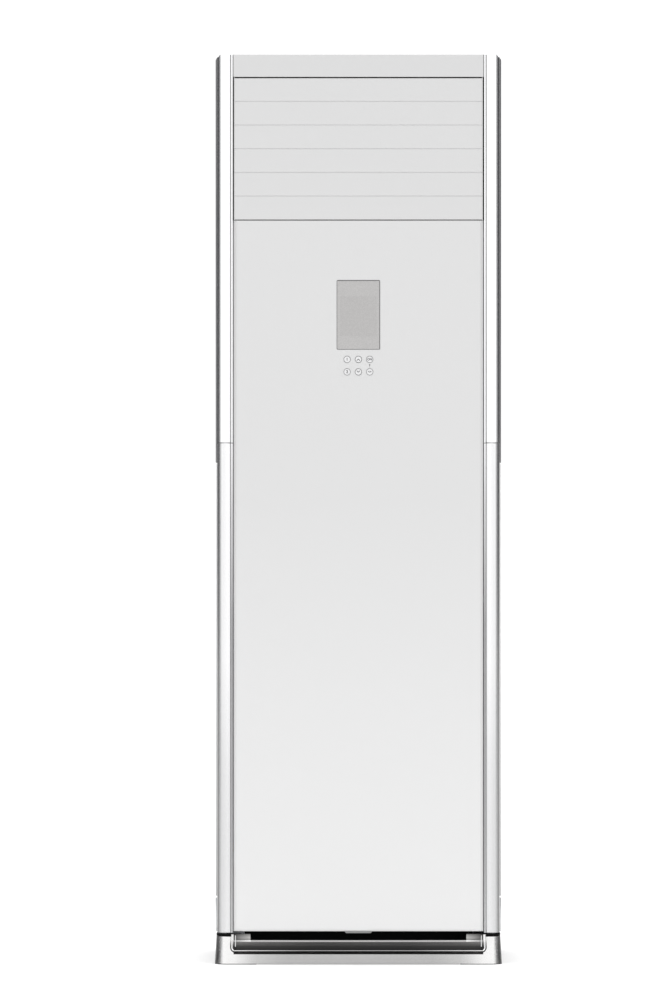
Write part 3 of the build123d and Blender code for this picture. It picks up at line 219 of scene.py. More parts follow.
def finish(name, own):
    # one coat: blotchy colour between two near shades, uneven gloss, fine surface grain, and painted shade
    # along its fades
    look = {**usualFinish, **own}
    material, tree, shader = newMaterial(name)
    blotch = objectNoise(tree, look["blotch"], stretch=look["stretch"])
    dark = [c * (1 - look["drift"]) for c in look["colour"]]
    light = [min(1, c * (1 + look["drift"])) for c in look["colour"]]
    shade = tinted(tree, blotch, dark, light)
    for fade in look["fades"]:
        shade = shadeAlong(tree, shade, fade)
    tree.links.new(shade, shader.inputs["Base Color"])
    grain = objectNoise(tree, look["grain"], detail=4, stretch=look["stretch"])
    gloss = spread(tree, grain, look["rough"] * (1 - look["uneven"]), look["rough"] * (1 + look["uneven"]))
    tree.links.new(gloss, shader.inputs["Roughness"])
    addBump(tree, shader, grain, look["bump"], look["relief"])
    shader.inputs["Metallic"].default_value = look["metal"]
    shader.inputs["Coat Weight"].default_value = look["coat"]
    shader.inputs["Coat Roughness"].default_value = look["coatRough"]
    shader.inputs["Specular IOR Level"].default_value = look["specular"]
    return material


finishes = {
    # painted whites
    "doorWhite": {
        "colour": (0.69, 0.69, 0.69), "rough": 0.30, "drift": 0.006, "blotch": 0.4, "grain": 0.0012,
        "bump": 0.05, "coat": 0.35, "coatRough": 0.12,
        # painted shade: the door darkens towards its top, and in a band along each side edge
        "fades": (upFade(0.10, 0.95, (0, 1.0), (0.5, 0.965), (1, 0.91)),
                  outFade(0.2490, 0.2565, (0, 1), (0.35, 0.95), (0.6, 0.87), (0.85, 0.88), (1, 0.96)))},
    "louverWhite": {"colour": (0.615, 0.615, 0.615), "rough": 0.42, "drift": 0.008, "blotch": 0.3,
                    "grain": 0.001, "bump": 0.08},
    "headerWhite": {"colour": (0.607, 0.607, 0.607), "rough": 0.42, "drift": 0.008, "blotch": 0.25,
                    "grain": 0.001, "bump": 0.08},
    "intakeWhite": {"colour": (0.80, 0.80, 0.80), "rough": 0.40, "drift": 0.01, "grain": 0.001},
    "edgeWhite": {"colour": (0.88, 0.88, 0.88), "rough": 0.35, "drift": 0.01, "grain": 0.001, "bump": 0.06,
                  # painted shade: the door's edge strip darkens towards its foot
                  "fades": (upFade(0.10, 0.75, (0, 0.60), (0.5, 0.80), (1, 1)),)},
    # columns, trim and sides
    "columnSilver": {
        "colour": (0.93, 0.93, 0.935), "rough": 0.22, "metal": 0.9, "drift": 0.012, "blotch": 0.06,
        "grain": 0.0006, "bump": 0.06, "coat": 0.2,
        # painted shade round the column's outer corner
        "fades": (outFade(0.280, 0.290, (0, 1), (0.5, 0.92), (0.68, 0.6), (0.8, 0.25), (1, 0.16)),)},
    "columnLow": {
        "colour": (0.93, 0.93, 0.935), "rough": 0.22, "metal": 0.9, "drift": 0.012, "blotch": 0.06,
        "grain": 0.0006, "bump": 0.06, "coat": 0.2,
        # painted shade: the lower column darkens towards its foot and round its outer corner
        "fades": (upFade(0.10, 0.62, (0, 0.74), (0.6, 0.86), (1, 1)),
                  outFade(0.262, 0.290, (0, 0.90), (0.25, 1), (0.65, 0.86), (0.84, 0.62), (0.9, 0.34),
                          (1, 0.30)))},
    "trimChrome": {"colour": (0.92, 0.92, 0.93), "rough": 0.14, "metal": 1.0, "drift": 0.01,
                   "blotch": 0.2, "grain": 0.002, "bump": 0.02,
                   # painted shade: the trim darkens downwards below about a metre
                   "fades": (upFade(0.70, 1.08, (0, 0.46), (0.65, 0.78), (1, 1)),)},
    "edgeShade": {"colour": (0.22, 0.22, 0.225), "rough": 0.35, "metal": 0.6, "blotch": 0.2,
                  "grain": 0.0008, "bump": 0.06},
    "sidePaint": {"colour": (0.62, 0.625, 0.63), "rough": 0.30, "metal": 0.7, "drift": 0.02,
                  "blotch": 0.3, "grain": 0.0009, "bump": 0.12, "coat": 0.2},
    "tabGrey": {"colour": (0.22, 0.22, 0.222), "rough": 0.4, "metal": 0.2, "grain": 0.0008, "bump": 0.08},
    # plinth and its recess
    "plinthSilver": {
        "colour": (0.80, 0.795, 0.79), "rough": 0.24, "metal": 1.0, "blotch": 0.05, "grain": 0.0006,
        # painted shade: the plinth darkens towards its middle and round its outer corners
        "fades": (outFade(0.15, 0.29, (0, 0.52), (0.42, 0.62), (0.75, 0.94), (1, 1.0)),
                  outFade(0.277, 0.2955, (0, 1), (0.23, 0.78), (0.45, 0.36), (0.57, 0.17), (0.68, 0.09),
                          (1, 0.13)))},
    # painted shade on the faces inside the plinth's recess
    "paintedRecessShade": {"colour": (0.075, 0.072, 0.07), "rough": 0.4, "metal": 0.3, "drift": 0.06,
                   "grain": 0.0006},
    # painted highlight on the recess frame's bead
    "paintedBeadHighlight": {"colour": (0.88, 0.88, 0.88), "rough": 0.16, "metal": 1.0, "drift": 0.02,
                   "blotch": 0.1, "grain": 0.001, "bump": 0.04},
    # a dimmer painted highlight on the bead bars, with painted shade towards the middle
    "paintedDimBeadHighlight": {"colour": (0.80, 0.80, 0.80), "rough": 0.18, "metal": 1.0, "drift": 0.02,
                "blotch": 0.1, "grain": 0.001, "bump": 0.04,
                "fades": (outFade(0.12, 0.25, (0, 0.36), (1, 0.8)),)},
    # painted highlight along the slot's lower lip, with painted shade towards its foot
    "paintedLipHighlight": {"colour": (0.62, 0.615, 0.61), "rough": 0.24, "metal": 1.0, "blotch": 0.03,
                  "grain": 0.0008, "bump": 0.08,
                  "fades": (upFade(0.0458, 0.0484, (0, 0.30), (0.55, 0.62), (1, 1.0)),)},
    # painted highlight where the lip runs over the end blocks, darker outwards
    "paintedEndLipHighlight": {"colour": (0.72, 0.715, 0.71), "rough": 0.28, "metal": 0.9, "blotch": 0.02,
               "grain": 0.0008, "fades": (outFade(0.222, 0.256, (0, 1.0), (1, 0.4)),)},
    "coveShade": {
        "colour": (0.76, 0.75, 0.74), "rough": 0.3, "metal": 0.8, "drift": 0.04, "blotch": 0.05,
        "grain": 0.0006, "bump": 0.12,
        "fades": (upFade(0.030, 0.051, (0, 0.03), (0.3, 0.06), (0.6, 0.30), (0.8, 0.62), (1, 1.0)),
                  outFade(0.10, 0.25, (0, 0.62), (1, 1.0)))},
    "brushedEndPaintedShade": {
        "colour": (0.55, 0.54, 0.53), "rough": 0.32, "metal": 0.9, "drift": 0.05, "blotch": 0.02,
        "grain": 0.0008, "bump": 0.12, "stretch": (0.15, 1, 1),
        # painted shade: the end blocks darken towards their top and outwards; the stretched grain is their
        # brushing
        "fades": (upFade(0.052, 0.064, (0, 1.0), (0.5, 0.6), (1, 0.14)),
                  outFade(0.222, 0.256, (0, 1.0), (0.5, 0.62), (1, 0.22)))},
    # plastics, rubber and foam
    "footRubber": {"colour": (0.035, 0.035, 0.037), "rough": 0.75, "drift": 0.2, "grain": 0.0008,
                   "bump": 0.3},
    "darkPlastic": {"colour": (0.05, 0.052, 0.056), "rough": 0.5, "drift": 0.1, "grain": 0.0009,
                    "bump": 0.2},
    "greyPlastic": {"colour": (0.17, 0.175, 0.185), "rough": 0.5, "drift": 0.06, "grain": 0.0009,
                    "bump": 0.18},
    "keyPlastic": {"colour": (0.70, 0.70, 0.705), "rough": 0.26, "drift": 0.006, "grain": 0.0008,
                   "bump": 0.04, "coat": 0.4},
    "hosePlastic": {"colour": (0.62, 0.62, 0.60), "rough": 0.5, "drift": 0.05, "grain": 0.001,
                    "bump": 0.15},
    "panPlastic": {"colour": (0.72, 0.72, 0.70), "rough": 0.55, "drift": 0.04, "grain": 0.0012,
                   "bump": 0.2},
    "boardGreen": {"colour": (0.02, 0.12, 0.06), "rough": 0.32, "drift": 0.25, "blotch": 0.006,
                   "grain": 0.001, "bump": 0.25, "coat": 0.3},
    "ductFoam": {"colour": (0.82, 0.82, 0.80), "rough": 0.85, "drift": 0.05, "blotch": 0.004,
                 "grain": 0.0035, "bump": 0.6, "relief": 0.0006},
    # metals inside and screws
    "zincSheet": {"colour": (0.56, 0.58, 0.60), "rough": 0.38, "metal": 0.9, "drift": 0.10,
                  "blotch": 0.018, "grain": 0.001, "bump": 0.06, "uneven": 0.25},
    "copperTube": {"colour": (0.72, 0.36, 0.22), "rough": 0.30, "metal": 1.0, "drift": 0.18,
                   "blotch": 0.02, "grain": 0.001, "bump": 0.05},
    "motorSteel": {"colour": (0.42, 0.43, 0.45), "rough": 0.35, "metal": 0.9, "drift": 0.08,
                   "grain": 0.0012},
    "screwZinc": {"colour": (0.66, 0.66, 0.64), "rough": 0.3, "metal": 1.0, "drift": 0.12,
                  "blotch": 0.003, "grain": 0.0005},
    # lines, prints, and painted shade in gaps
    # painted shade: black put in gaps, slots and cuts where only shade is seen
    "paintedGapShade": {"colour": (0.004, 0.004, 0.004), "rough": 0.85, "drift": 0.1, "grain": 0.001,
                  "specular": 0.08},
    "printGrey": {"colour": (0.10, 0.10, 0.102), "rough": 0.4, "drift": 0.05, "grain": 0.0004,
                  "bump": 0.05},
    "ringGrey": {"colour": (0.21, 0.21, 0.213), "rough": 0.35, "drift": 0.04, "grain": 0.0004,
                 "bump": 0.05},
    "lineGrey": {"colour": (0.13, 0.13, 0.132), "rough": 0.4, "drift": 0.05, "grain": 0.0004,
                 "bump": 0.05},
    "hairGrey": {"colour": (0.28, 0.28, 0.284), "rough": 0.4, "drift": 0.04, "grain": 0.0006,
                 "bump": 0.05},
    "shadedJointGrey": {
        "colour": (0.60, 0.60, 0.605), "rough": 0.4, "drift": 0.04, "grain": 0.0006, "bump": 0.05,
        # painted shade along the joint line: darker at the trim and round the column's outer corner
        "fades": (outFade(0.257, 0.290, (0, 0.18), (0.22, 0.45), (0.5, 0.95), (0.8, 0.25), (1, 0.05)),)},
}
finished = {name: finish(name, look) for name, look in finishes.items()}


windowLook = {
    "pane": (0.420, 0.412, 0.408),
    "field": (0.400, 0.392, 0.388),
    "dot": 0.0022,             # from one dot of the screen to the next
    "dotShades": (0.95, 1.04),
    "rough": 0.22,
    "smear": 0.03,
    "smearShare": 0.03,
    "coat": 0.5,
    "coatRough": 0.06,
}


def windowGrey(name, colour):
    # smoked pane with the faint dot screen that shows through it
    look = windowLook
    material, tree, shader = newMaterial(name)
    coords = addNode(tree, "ShaderNodeTexCoord")
    dots = addNode(tree, "ShaderNodeTexVoronoi")
    dots.inputs["Scale"].default_value = 1 / look["dot"]
    tree.links.new(coords.outputs["Object"], dots.inputs["Vector"])
    dark, light = ([c * share for c in colour] for share in look["dotShades"])
    shade = tinted(tree, spread(tree, dots.outputs["Distance"], 0, 1), dark, light)
    tree.links.new(shade, shader.inputs["Base Color"])
    smear = objectNoise(tree, look["smear"])
    low, high = (look["rough"] * (1 + side * look["smearShare"]) for side in (-1, 1))
    tree.links.new(spread(tree, smear, low, high), shader.inputs["Roughness"])
    shader.inputs["Coat Weight"].default_value = look["coat"]
    shader.inputs["Coat Roughness"].default_value = look["coatRough"]
    return material


finished["windowPane"] = windowGrey("windowPane", windowLook["pane"])
finished["windowField"] = windowGrey("windowField", windowLook["field"])


bandsPerMetre = 3.1            # about what a wave texture draws at a scale of 1


def bands(tree, coords, direction, pitch):
    wave = addNode(tree, "ShaderNodeTexWave", bands_direction=direction)
    wave.inputs["Scale"].default_value = 1 / pitch / bandsPerMetre
    tree.links.new(coords.outputs["Object"], wave.inputs["Vector"])
    return wave.outputs["Fac"]


finLook = {"pitch": 0.0018, "bright": (0.80, 0.82, 0.84), "gap": (0.10, 0.10, 0.11), "metal": 0.9,
           "rough": (0.3, 0.5), "blotch": 0.01, "bump": 0.6, "relief": 0.0008}


def finStack():
    # thin fins seen edge on: bright edges and dark gaps of painted shade along the coil's width
    look = finLook
    material, tree, shader = newMaterial("finStack")
    coords = addNode(tree, "ShaderNodeTexCoord")
    fins = bands(tree, coords, "X", look["pitch"])
    tree.links.new(tinted(tree, fins, look["gap"], look["bright"]), shader.inputs["Base Color"])
    addBump(tree, shader, fins, look["bump"], look["relief"])
    shader.inputs["Metallic"].default_value = look["metal"]
    rough = objectNoise(tree, look["blotch"])
    tree.links.new(spread(tree, rough, *look["rough"]), shader.inputs["Roughness"])
    return material


finished["finStack"] = finStack()

netLook = {"pitch": 0.0026, "thread": (0.10, 0.105, 0.115), "hole": (0.012, 0.012, 0.014),
           "rough": (0.55, 0.75), "blotch": 0.004, "bump": 0.7, "relief": 0.0006}


def filterNet():
    # fine square net: two sets of threads crossing, with painted shade in the holes
    look = netLook
    material, tree, shader = newMaterial("filterNet")
    coords = addNode(tree, "ShaderNodeTexCoord")
    high = addNode(tree, "ShaderNodeMath", operation="MAXIMUM")
    for index, direction in enumerate(("Y", "Z")):
        tree.links.new(bands(tree, coords, direction, look["pitch"]), high.inputs[index])
    threads = high.outputs["Value"]
    tree.links.new(tinted(tree, threads, look["hole"], look["thread"]), shader.inputs["Base Color"])
    addBump(tree, shader, threads, look["bump"], look["relief"])
    rough = objectNoise(tree, look["blotch"])
    tree.links.new(spread(tree, rough, *look["rough"]), shader.inputs["Roughness"])
    return material


finished["filterNet"] = filterNet()
print("materials made:", len(finished))


buttons = sorted(node for node in cadNodes if node.startswith("button_"))
louvers = sorted(node for node in cadNodes if node.startswith("louver_") and node[-1].isdigit())
vanes = sorted(node for node in cadNodes if node.startswith("vane_") and node[-1].isdigit())

# what the CAD nodes wear
wearers = {
    "plinthSilver": ("base_plinth",),
    "footRubber": ("foot_pads",),
    "columnSilver": ("left_column_upper", "right_column_upper", "left_column_lower",
                     "right_column_lower", "panel_pull_tab"),
    "trimChrome": ("left_trim_strip", "right_trim_strip"),
    "sidePaint": ("left_side_panel", "right_side_panel"),
    "headerWhite": ("top_cap",),
    "doorWhite": ("front_panel",),
    "louverWhite": louvers,
    "intakeWhite": ("left_intake_grille", "right_intake_grille"),
    "keyPlastic": buttons,
    "windowPane": ("display_lens",),
    "boardGreen": ("display_board",),
    "greyPlastic": ("outlet_frame", *vanes),
    "darkPlastic": ("louver_link", "vane_link", "inlet_bellmouth", "blower_wheel", "blower_dish"),
    "panPlastic": ("drain_pan",),
    "hosePlastic": ("drain_hose",),
    "motorSteel": ("louver_motor", "vane_motor", "fan_motor", "blower_shaft"),
    "zincSheet": ("chassis_plate", "rear_panel", "mid_deck", "scroll_wall", "scroll_front_plate",
                  "scroll_rear_plate", "motor_bracket", "coil_end_plates", "control_box"),
    "copperTube": ("evaporator_tubes", "refrigerant_pipes"),
    "finStack": ("evaporator_fins",),
    "filterNet": ("left_filter", "right_filter"),
    "ductFoam": ("duct_liner",),
}


def wear(node, material):
    cad = cadNodes[node]
    cad.data.materials.clear()
    cad.data.materials.append(finished[material])


for material, nodes in wearers.items():
    for node in nodes:
        wear(node, material)


# helpers for meshes
roundAngle = 40                # faces that meet at less than this are shaded as one round face
weldReach = 0.000001


def newPiece(name, mesh, material, body, smoothAngle=None, stands=()):
    # turns a bmesh into a piece that rides on a body, with its place in its mesh
    bmesh.ops.recalc_face_normals(mesh, faces=mesh.faces)
    data = bpy.data.meshes.new(name)
    mesh.to_mesh(data)
    mesh.free()
    piece = bpy.data.objects.new(name, data)
    scene.collection.objects.link(piece)
    data.materials.append(finished[material])
    if smoothAngle is not None:
        data.shade_smooth()
        data.set_sharp_from_angle(angle=math.radians(smoothAngle))
    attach(piece, body)
    if stands:
        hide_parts(*stands)
    return piece


def bodyOf(node):
    return cadNodes[node]["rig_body"]


def bevelSharp(mesh, offset, sharpAngle):
    sharp = [e for e in mesh.edges if len(e.link_faces) == 2
             and e.calc_face_angle(0) > math.radians(sharpAngle)]
    bmesh.ops.bevel(mesh, geom=sharp, offset=offset, affect="EDGES", segments=2, profile=0.5,
                    material=-1, clamp_overlap=True)


def addBar(mesh, low, high):
    bar = bmesh.ops.create_cube(mesh, size=1)
    size = Vector(high) - Vector(low)
    bmesh.ops.scale(mesh, vec=size, verts=bar["verts"])
    bmesh.ops.translate(mesh, vec=Vector(low) + size / 2, verts=bar["verts"])


def makeBlock(name, low, high, material, body):
    mesh = bmesh.new()
    addBar(mesh, low, high)
    return newPiece(name, mesh, material, body)


def makeSideBlock(name, side, across, deep, tall, material, body):
    # a block on one side: its ranges outwards from the middle, along Y and in height
    xs = sorted(side * x for x in across)
    return makeBlock(name, (xs[0], deep[0], tall[0]), (xs[1], deep[1], tall[1]), material, body)


def growFace(mesh, corners, way):
    # a flat outline drawn out to a closed solid
    face = mesh.faces.new([mesh.verts.new(corner) for corner in corners])
    grown = bmesh.ops.extrude_face_region(mesh, geom=[face])
    moved = [v for v in grown["geom"] if isinstance(v, bmesh.types.BMVert)]
    bmesh.ops.translate(mesh, verts=moved, vec=way)


def makeBentBar(name, sections, material, body):
    # a closed bar that grows from section to section, each with the same number of corners
    mesh = bmesh.new()
    first = mesh.faces.new([mesh.verts.new(corner) for corner in sections[0]])
    end = first
    for section in sections[1:]:
        passed = end
        grown = bmesh.ops.extrude_face_region(mesh, geom=[passed])
        end = next(part for part in grown["geom"] if isinstance(part, bmesh.types.BMFace))
        for vert, corner in zip(end.verts, section):
            vert.co = corner
        if passed is not first:
            bmesh.ops.delete(mesh, geom=[passed], context="FACES_ONLY")
    return newPiece(name, mesh, material, body, roundAngle)


def evenNormals(piece):
    # large flat faces keep their own direction beside the narrow bevels
    weighted = piece.modifiers.new("evenNormals", "WEIGHTED_NORMAL")
    weighted.mode = "FACE_AREA"
    weighted.weight = 100
    weighted.keep_sharp = True


skinLook = {"weld": 0.00001, "flatAngle": 0.6, "smoothAngle": 32, "bevelAngle": 40}


def smoothCopy(node, material, bevel=0.0):
    # a clean copy of a CAD node: doubles merged, flat faces joined, round faces shaded smooth
    look = skinLook
    mesh = bmesh.new()
    mesh.from_mesh(cadNodes[node].data)
    bmesh.ops.remove_doubles(mesh, verts=mesh.verts, dist=look["weld"])
    bmesh.ops.dissolve_limit(mesh, angle_limit=math.radians(look["flatAngle"]), verts=mesh.verts,
                             edges=mesh.edges)
    if bevel:
        bevelSharp(mesh, bevel, look["bevelAngle"])
    piece = newPiece(node + "_skin", mesh, material, bodyOf(node), look["smoothAngle"], (node,))
    evenNormals(piece)
    return piece


# dressed copies of the CAD nodes in view, each with its finish and the width of its bevels
dressed = {
    "base_plinth": ("plinthSilver", 0.0006),
    "left_column_upper": ("columnSilver", 0.0005),
    "right_column_upper": ("columnSilver", 0.0005),
    "left_column_lower": ("columnLow", 0.0012),
    "right_column_lower": ("columnLow", 0.0012),
    "left_trim_strip": ("trimChrome", 0.0003),
    "right_trim_strip": ("trimChrome", 0.0003),
    "top_cap": ("headerWhite", 0.0005),
    "front_panel": ("doorWhite", 0.0003),
    "panel_pull_tab": ("tabGrey", 0.0004),
    "display_lens": ("windowPane", 0.0002),
    "left_side_panel": ("sidePaint", 0.0003),
    "right_side_panel": ("sidePaint", 0.0003),
    "rear_panel": ("zincSheet", 0.0003),
}
for nodes, material, bevel in ((buttons, "keyPlastic", 0), (louvers, "louverWhite", 0.0002)):
    dressed.update((node, (material, bevel)) for node in nodes)
skins = {node: smoothCopy(node, material, bevel) for node, (material, bevel) in dressed.items()}
print("dressed copies made:", len(skins))


def paintFaces(piece, material, belongs):
    # gives the faces that a test picks, by middle and direction, a second finish
    piece.data.materials.append(finished[material])
    index = len(piece.data.materials) - 1
    for face in piece.data.polygons:
        if belongs(face.center, face.normal):
            face.material_index = index


plinthLook = {
    "recessDeep": 0.004,       # recess in the plinth's front, its sizes as in the CAD
    "recessHalf": 0.2635,
    "recessBottom": 0.024,
    "slotDeep": 0.05,
    "beadInset": 0.0036,
    "beadRadius": 0.0017,
    "cornerBead": 0.012,
    "coveInset": 0.007,
    "endBlock": 0.0415,
    "lipDrop": 0.012,
    "frontBand": 0.0022,       # faces nearer the front than this are in the recess if they face aside
    "aside": 0.7,
    "upwards": 0.9,
    "slack": 0.0002,           # how far a face's middle may lie past a line that bounds its part
}


def paintPlinth(piece):
    low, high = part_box("base_plinth")
    look = plinthLook
    slack = look["slack"]
    front = low.y
    floor = front + look["recessDeep"]
    bottom = look["recessBottom"]
    beadX = look["recessHalf"] - look["beadInset"]
    beadZ = bottom + look["beadInset"]
    coveX = look["recessHalf"] - look["coveInset"]
    slotX = look["recessHalf"] - look["endBlock"]
    lip = high.z - look["lipDrop"]

    def inRecess(at, facing):
        deep = at.y > front + look["frontBand"] or abs(facing.y) < look["aside"]
        return (abs(at.x) < look["recessHalf"] + slack and at.z > bottom - slack
                and deep and at.y < front + look["slotDeep"])

    def onBead(at, facing):
        near = abs(abs(at.x) - beadX) < look["beadRadius"] or abs(at.z - beadZ) < look["beadRadius"] \
            or (abs(at.x) > beadX - look["cornerBead"] and at.z < beadZ + look["cornerBead"])
        return inRecess(at, facing) and at.y < floor - slack / 2 and near

    def inCove(at, facing):
        return inRecess(at, facing) and abs(at.x) < coveX + slack * 1.5 and at.y > floor - slack / 2 \
            and at.z < lip + slack

    def onEnd(at, facing):
        return inRecess(at, facing) and slotX - slack < abs(at.x) < coveX + slack * 1.5 \
            and at.z > lip - slack

    def inSlot(at, facing):
        return abs(at.x) < slotX + slack and at.z > lip - slack and at.y > front + slack * 2.5

    def onTop(at, facing):
        return facing.z > look["upwards"] and at.z > high.z - slack * 2.5

    # painted shade on the recess, its slot and the plinth's top, a painted highlight on the bead, and
    # shaded finishes on the cove and end blocks
    paintFaces(piece, "paintedRecessShade", inRecess)
    paintFaces(piece, "paintedBeadHighlight", onBead)
    paintFaces(piece, "coveShade", inCove)
    paintFaces(piece, "brushedEndPaintedShade", onEnd)
    paintFaces(piece, "paintedGapShade", inSlot)
    paintFaces(piece, "paintedGapShade", onTop)


paintPlinth(skins["base_plinth"])


seamLook = {
    "inset": 0.009,            # from the door's side edge to the lip's end
    "end": 0.2539,             # where the filling bar ends, measured from the middle
    "front": 0.0037,           # the lip behind the door's face
    "thick": 0.0008,
    "web": 0.0033,             # front of the web that carries the lip, behind the door's face
    "webTop": 0.0008,
    "root": 0.0020,            # how far the lip reaches below and above the louver's top
    "reach": 0.0030,
    "recess": 0.0014,          # front of the filling bar, behind the door's face
    "fill": 0.0010,
    "fillRoot": 0.0003,
}


def makeSeamLips():
    # thin lip along a louver's upper edge, which closes the gap under the louver above it
    look = seamLook
    doorLow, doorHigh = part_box("front_panel")
    half = doorHigh.x - look["inset"]
    for node in louvers[1:]:
        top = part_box(node)[1].z
        mesh = bmesh.new()
        for wide, near, far, below, above in (
                (half, look["front"], look["front"] + look["thick"], look["root"], look["reach"]),
                (half, look["web"], look["front"], look["root"], -look["webTop"]),
                (look["end"], look["recess"], look["web"], look["fillRoot"], look["fill"])):
            addBar(mesh, (-wide, doorLow.y + near, top - below), (wide, doorLow.y + far, top + above))
        newPiece("seamLip" + node[-1], mesh, "louverWhite", node)


makeSeamLips()


outletLook = {
    "whiteStart": 0.2545,      # just past the louver's end
    "whiteEnd": 0.2559,
    "blackStart": 0.2558,
    "blackEnd": 0.2578,
    "front": 0.0012,           # white strip's front behind the door's face
    "blackProud": 0.0001,      # the black strip stands this much before the white one
    "deep": 0.0008,
    "blackDeep": 0.0010,
    "footGap": 0.0006,
    "topGap": 0.0010,
    "lineWide": 0.0010,
    "lineProud": 0.0002,
    "lineDeep": 0.0004,
    "lineTopGap": 0.0008,
}


def makeOutletSides():
    # fixed white and black strips beside the louver ends, the black one painted shade in the gap, and the
    # line between header and trim
    look = outletLook
    doorLow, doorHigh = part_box("front_panel")
    capLow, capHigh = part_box("top_cap")
    cabinet = bodyOf("top_cap")
    front = doorLow.y + look["front"]
    blackFront = front - look["blackProud"]
    tall = (doorHigh.z + look["footGap"], capLow.z - look["topGap"])
    for side, hand in hands:
        makeSideBlock(hand + "OutletWhite", side, (look["whiteStart"], look["whiteEnd"]),
                      (front, front + look["deep"]), tall, "louverWhite", cabinet)
        makeSideBlock(hand + "OutletGapShade", side, (look["blackStart"], look["blackEnd"]),
                      (blackFront, blackFront + look["blackDeep"]), tall, "paintedGapShade", cabinet)
        makeSideBlock(hand + "HeaderLine", side, (look["blackEnd"] - look["lineWide"], look["blackEnd"]),
                      (capLow.y - look["lineProud"], capLow.y + look["lineDeep"]),
                      (capLow.z + look["lineProud"], capHigh.z - look["lineTopGap"]), "lineGrey", cabinet)


makeOutletSides()
plinthLow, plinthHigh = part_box("base_plinth")
plinthBody = bodyOf("base_plinth")

# bars in the plinth's recess, with painted shade and painted highlights: outwards from the middle, behind
# the plinth's front, below its top
recessBars = {
    # black plate deep in the slot: painted shade
    "slotShade": ((-0.2350, 0.2350), (0.0510, 0.0530), (0.0140, -0.0060), "paintedGapShade"),
    # painted highlight along the slot's lower lip
    "lipHighlightLine": ((-0.2215, 0.2215), (0.0037, 0.0046), (0.0156, 0.0131), "paintedLipHighlight"),
}
recessEnds = {
    # painted highlights at the recess ends: along the lip and down the cove's edge
    "LipHighlightEnd": ((0.2215, 0.2560), (0.0037, 0.0048), (0.0150, 0.0112), "paintedEndLipHighlight"),
    "CoveEdgeHighlight": ((0.2518, 0.2534), (0.0034, 0.0048), (0.0250, 0.0020), "paintedDimBeadHighlight"),
}
lowerBeadLook = {"radius": 0.001275, "half": 0.2570, "rise": 0.0005, "proud": 0.0002, "turns": 24}


def makeRecessBars():
    for side, hand, bars in ((1, "", recessBars), (-1, "left", recessEnds), (1, "right", recessEnds)):
        for name, (across, behind, below, material) in bars.items():
            makeSideBlock(hand + name, side, across, [plinthLow.y + y for y in behind],
                          [plinthHigh.z - z for z in below], material, plinthBody)


def makeLowerBead():
    # the recess frame's lower run, across the foot of the cove, with a dim painted highlight
    look = lowerBeadLook
    mesh = bmesh.new()
    bmesh.ops.create_cone(mesh, cap_ends=True, segments=look["turns"], radius1=look["radius"],
                          radius2=look["radius"], depth=2 * look["half"])
    place = Vector((0, plinthLow.y + plinthLook["recessDeep"] - look["proud"],
                    plinthLook["recessBottom"] + plinthLook["beadInset"] + look["rise"]))
    turned = Matrix.Translation(place) @ Matrix.Rotation(math.radians(90), 4, "Y")
    bmesh.ops.transform(mesh, matrix=turned, verts=mesh.verts)
    newPiece("lowerBead", mesh, "paintedDimBeadHighlight", plinthBody, roundAngle)


makeRecessBars()
makeLowerBead()


def makeUpright(name, outline, low, high, material, body, topCut=0.0, footCut=0.0):
    # a strip of the same outline in plan from low to high, its outer corners cut off on the slant
    mesh = bmesh.new()
    growFace(mesh, [(x, y, low) for x, y in outline], (0, 0, high - low))
    reach = max(abs(x) for x, y in outline)
    root = min(abs(x) for x, y in outline)
    for vert in mesh.verts:
        out = (abs(vert.co.x) - root) / (reach - root)
        if vert.co.z > (low + high) / 2:
            vert.co.z -= out * topCut
        else:
            vert.co.z += out * footCut
    bevelSharp(mesh, edgeLook["bevel"], edgeLook["sharpAngle"])
    return newPiece(name, mesh, material, body, roundAngle)


edgeLook = {
    "root": 0.29055, "mid": 0.2934, "reach": 0.2953,          # outwards from the middle
    "front": -0.1256, "shoulder": -0.1210, "flat": -0.1120, "back": -0.0990,
    "shortFlat": -0.1195, "shortBack": -0.1186,               # below the intake door
    "doorLow": 0.135, "doorHigh": 1.0295, "top": 1.8700,
    "gapAbove": 0.0014, "gapBelow": 0.0025, "footGap": 0.0015,
    "topCut": 0.0062, "doorTopCut": 0.0006, "doorFootCut": 0.0015,
    "bevel": 0.0003, "sharpAngle": 11.5,
}


def makeEdgeStrips(side, hand):
    # slanted strips down the front edge of a side; the middle length belongs to the intake door
    look = edgeLook
    front = [(side * look["root"], look["front"]), (side * look["mid"], look["front"]),
             (side * look["reach"], look["shoulder"])]
    outline = front + [(side * look["reach"], look["flat"]), (side * look["root"], look["back"])]
    # below the door the strip keeps in front of the door's own edge
    short = front + [(side * look["reach"], look["shortFlat"]), (side * look["root"], look["shortBack"])]
    cabinet = bodyOf(f"{hand}_side_panel")
    makeUpright(f"{hand}EdgeUpper", outline, look["doorHigh"] + look["gapAbove"], look["top"],
                "edgeShade", cabinet, topCut=look["topCut"])
    makeUpright(f"{hand}EdgeLower", short, plinthHigh.z + look["footGap"],
                look["doorLow"] - look["gapBelow"], "sidePaint", cabinet)
    makeUpright(f"{hand}DoorEdge", outline, look["doorLow"], look["doorHigh"], "edgeWhite",
                bodyOf(f"{hand}_intake_grille"), topCut=look["doorTopCut"], footCut=look["doorFootCut"])


trimLineLook = {"inward": 0.0003, "outward": 0.0013, "proud": 0.0003, "deep": 0.0006, "topGap": 0.0008}


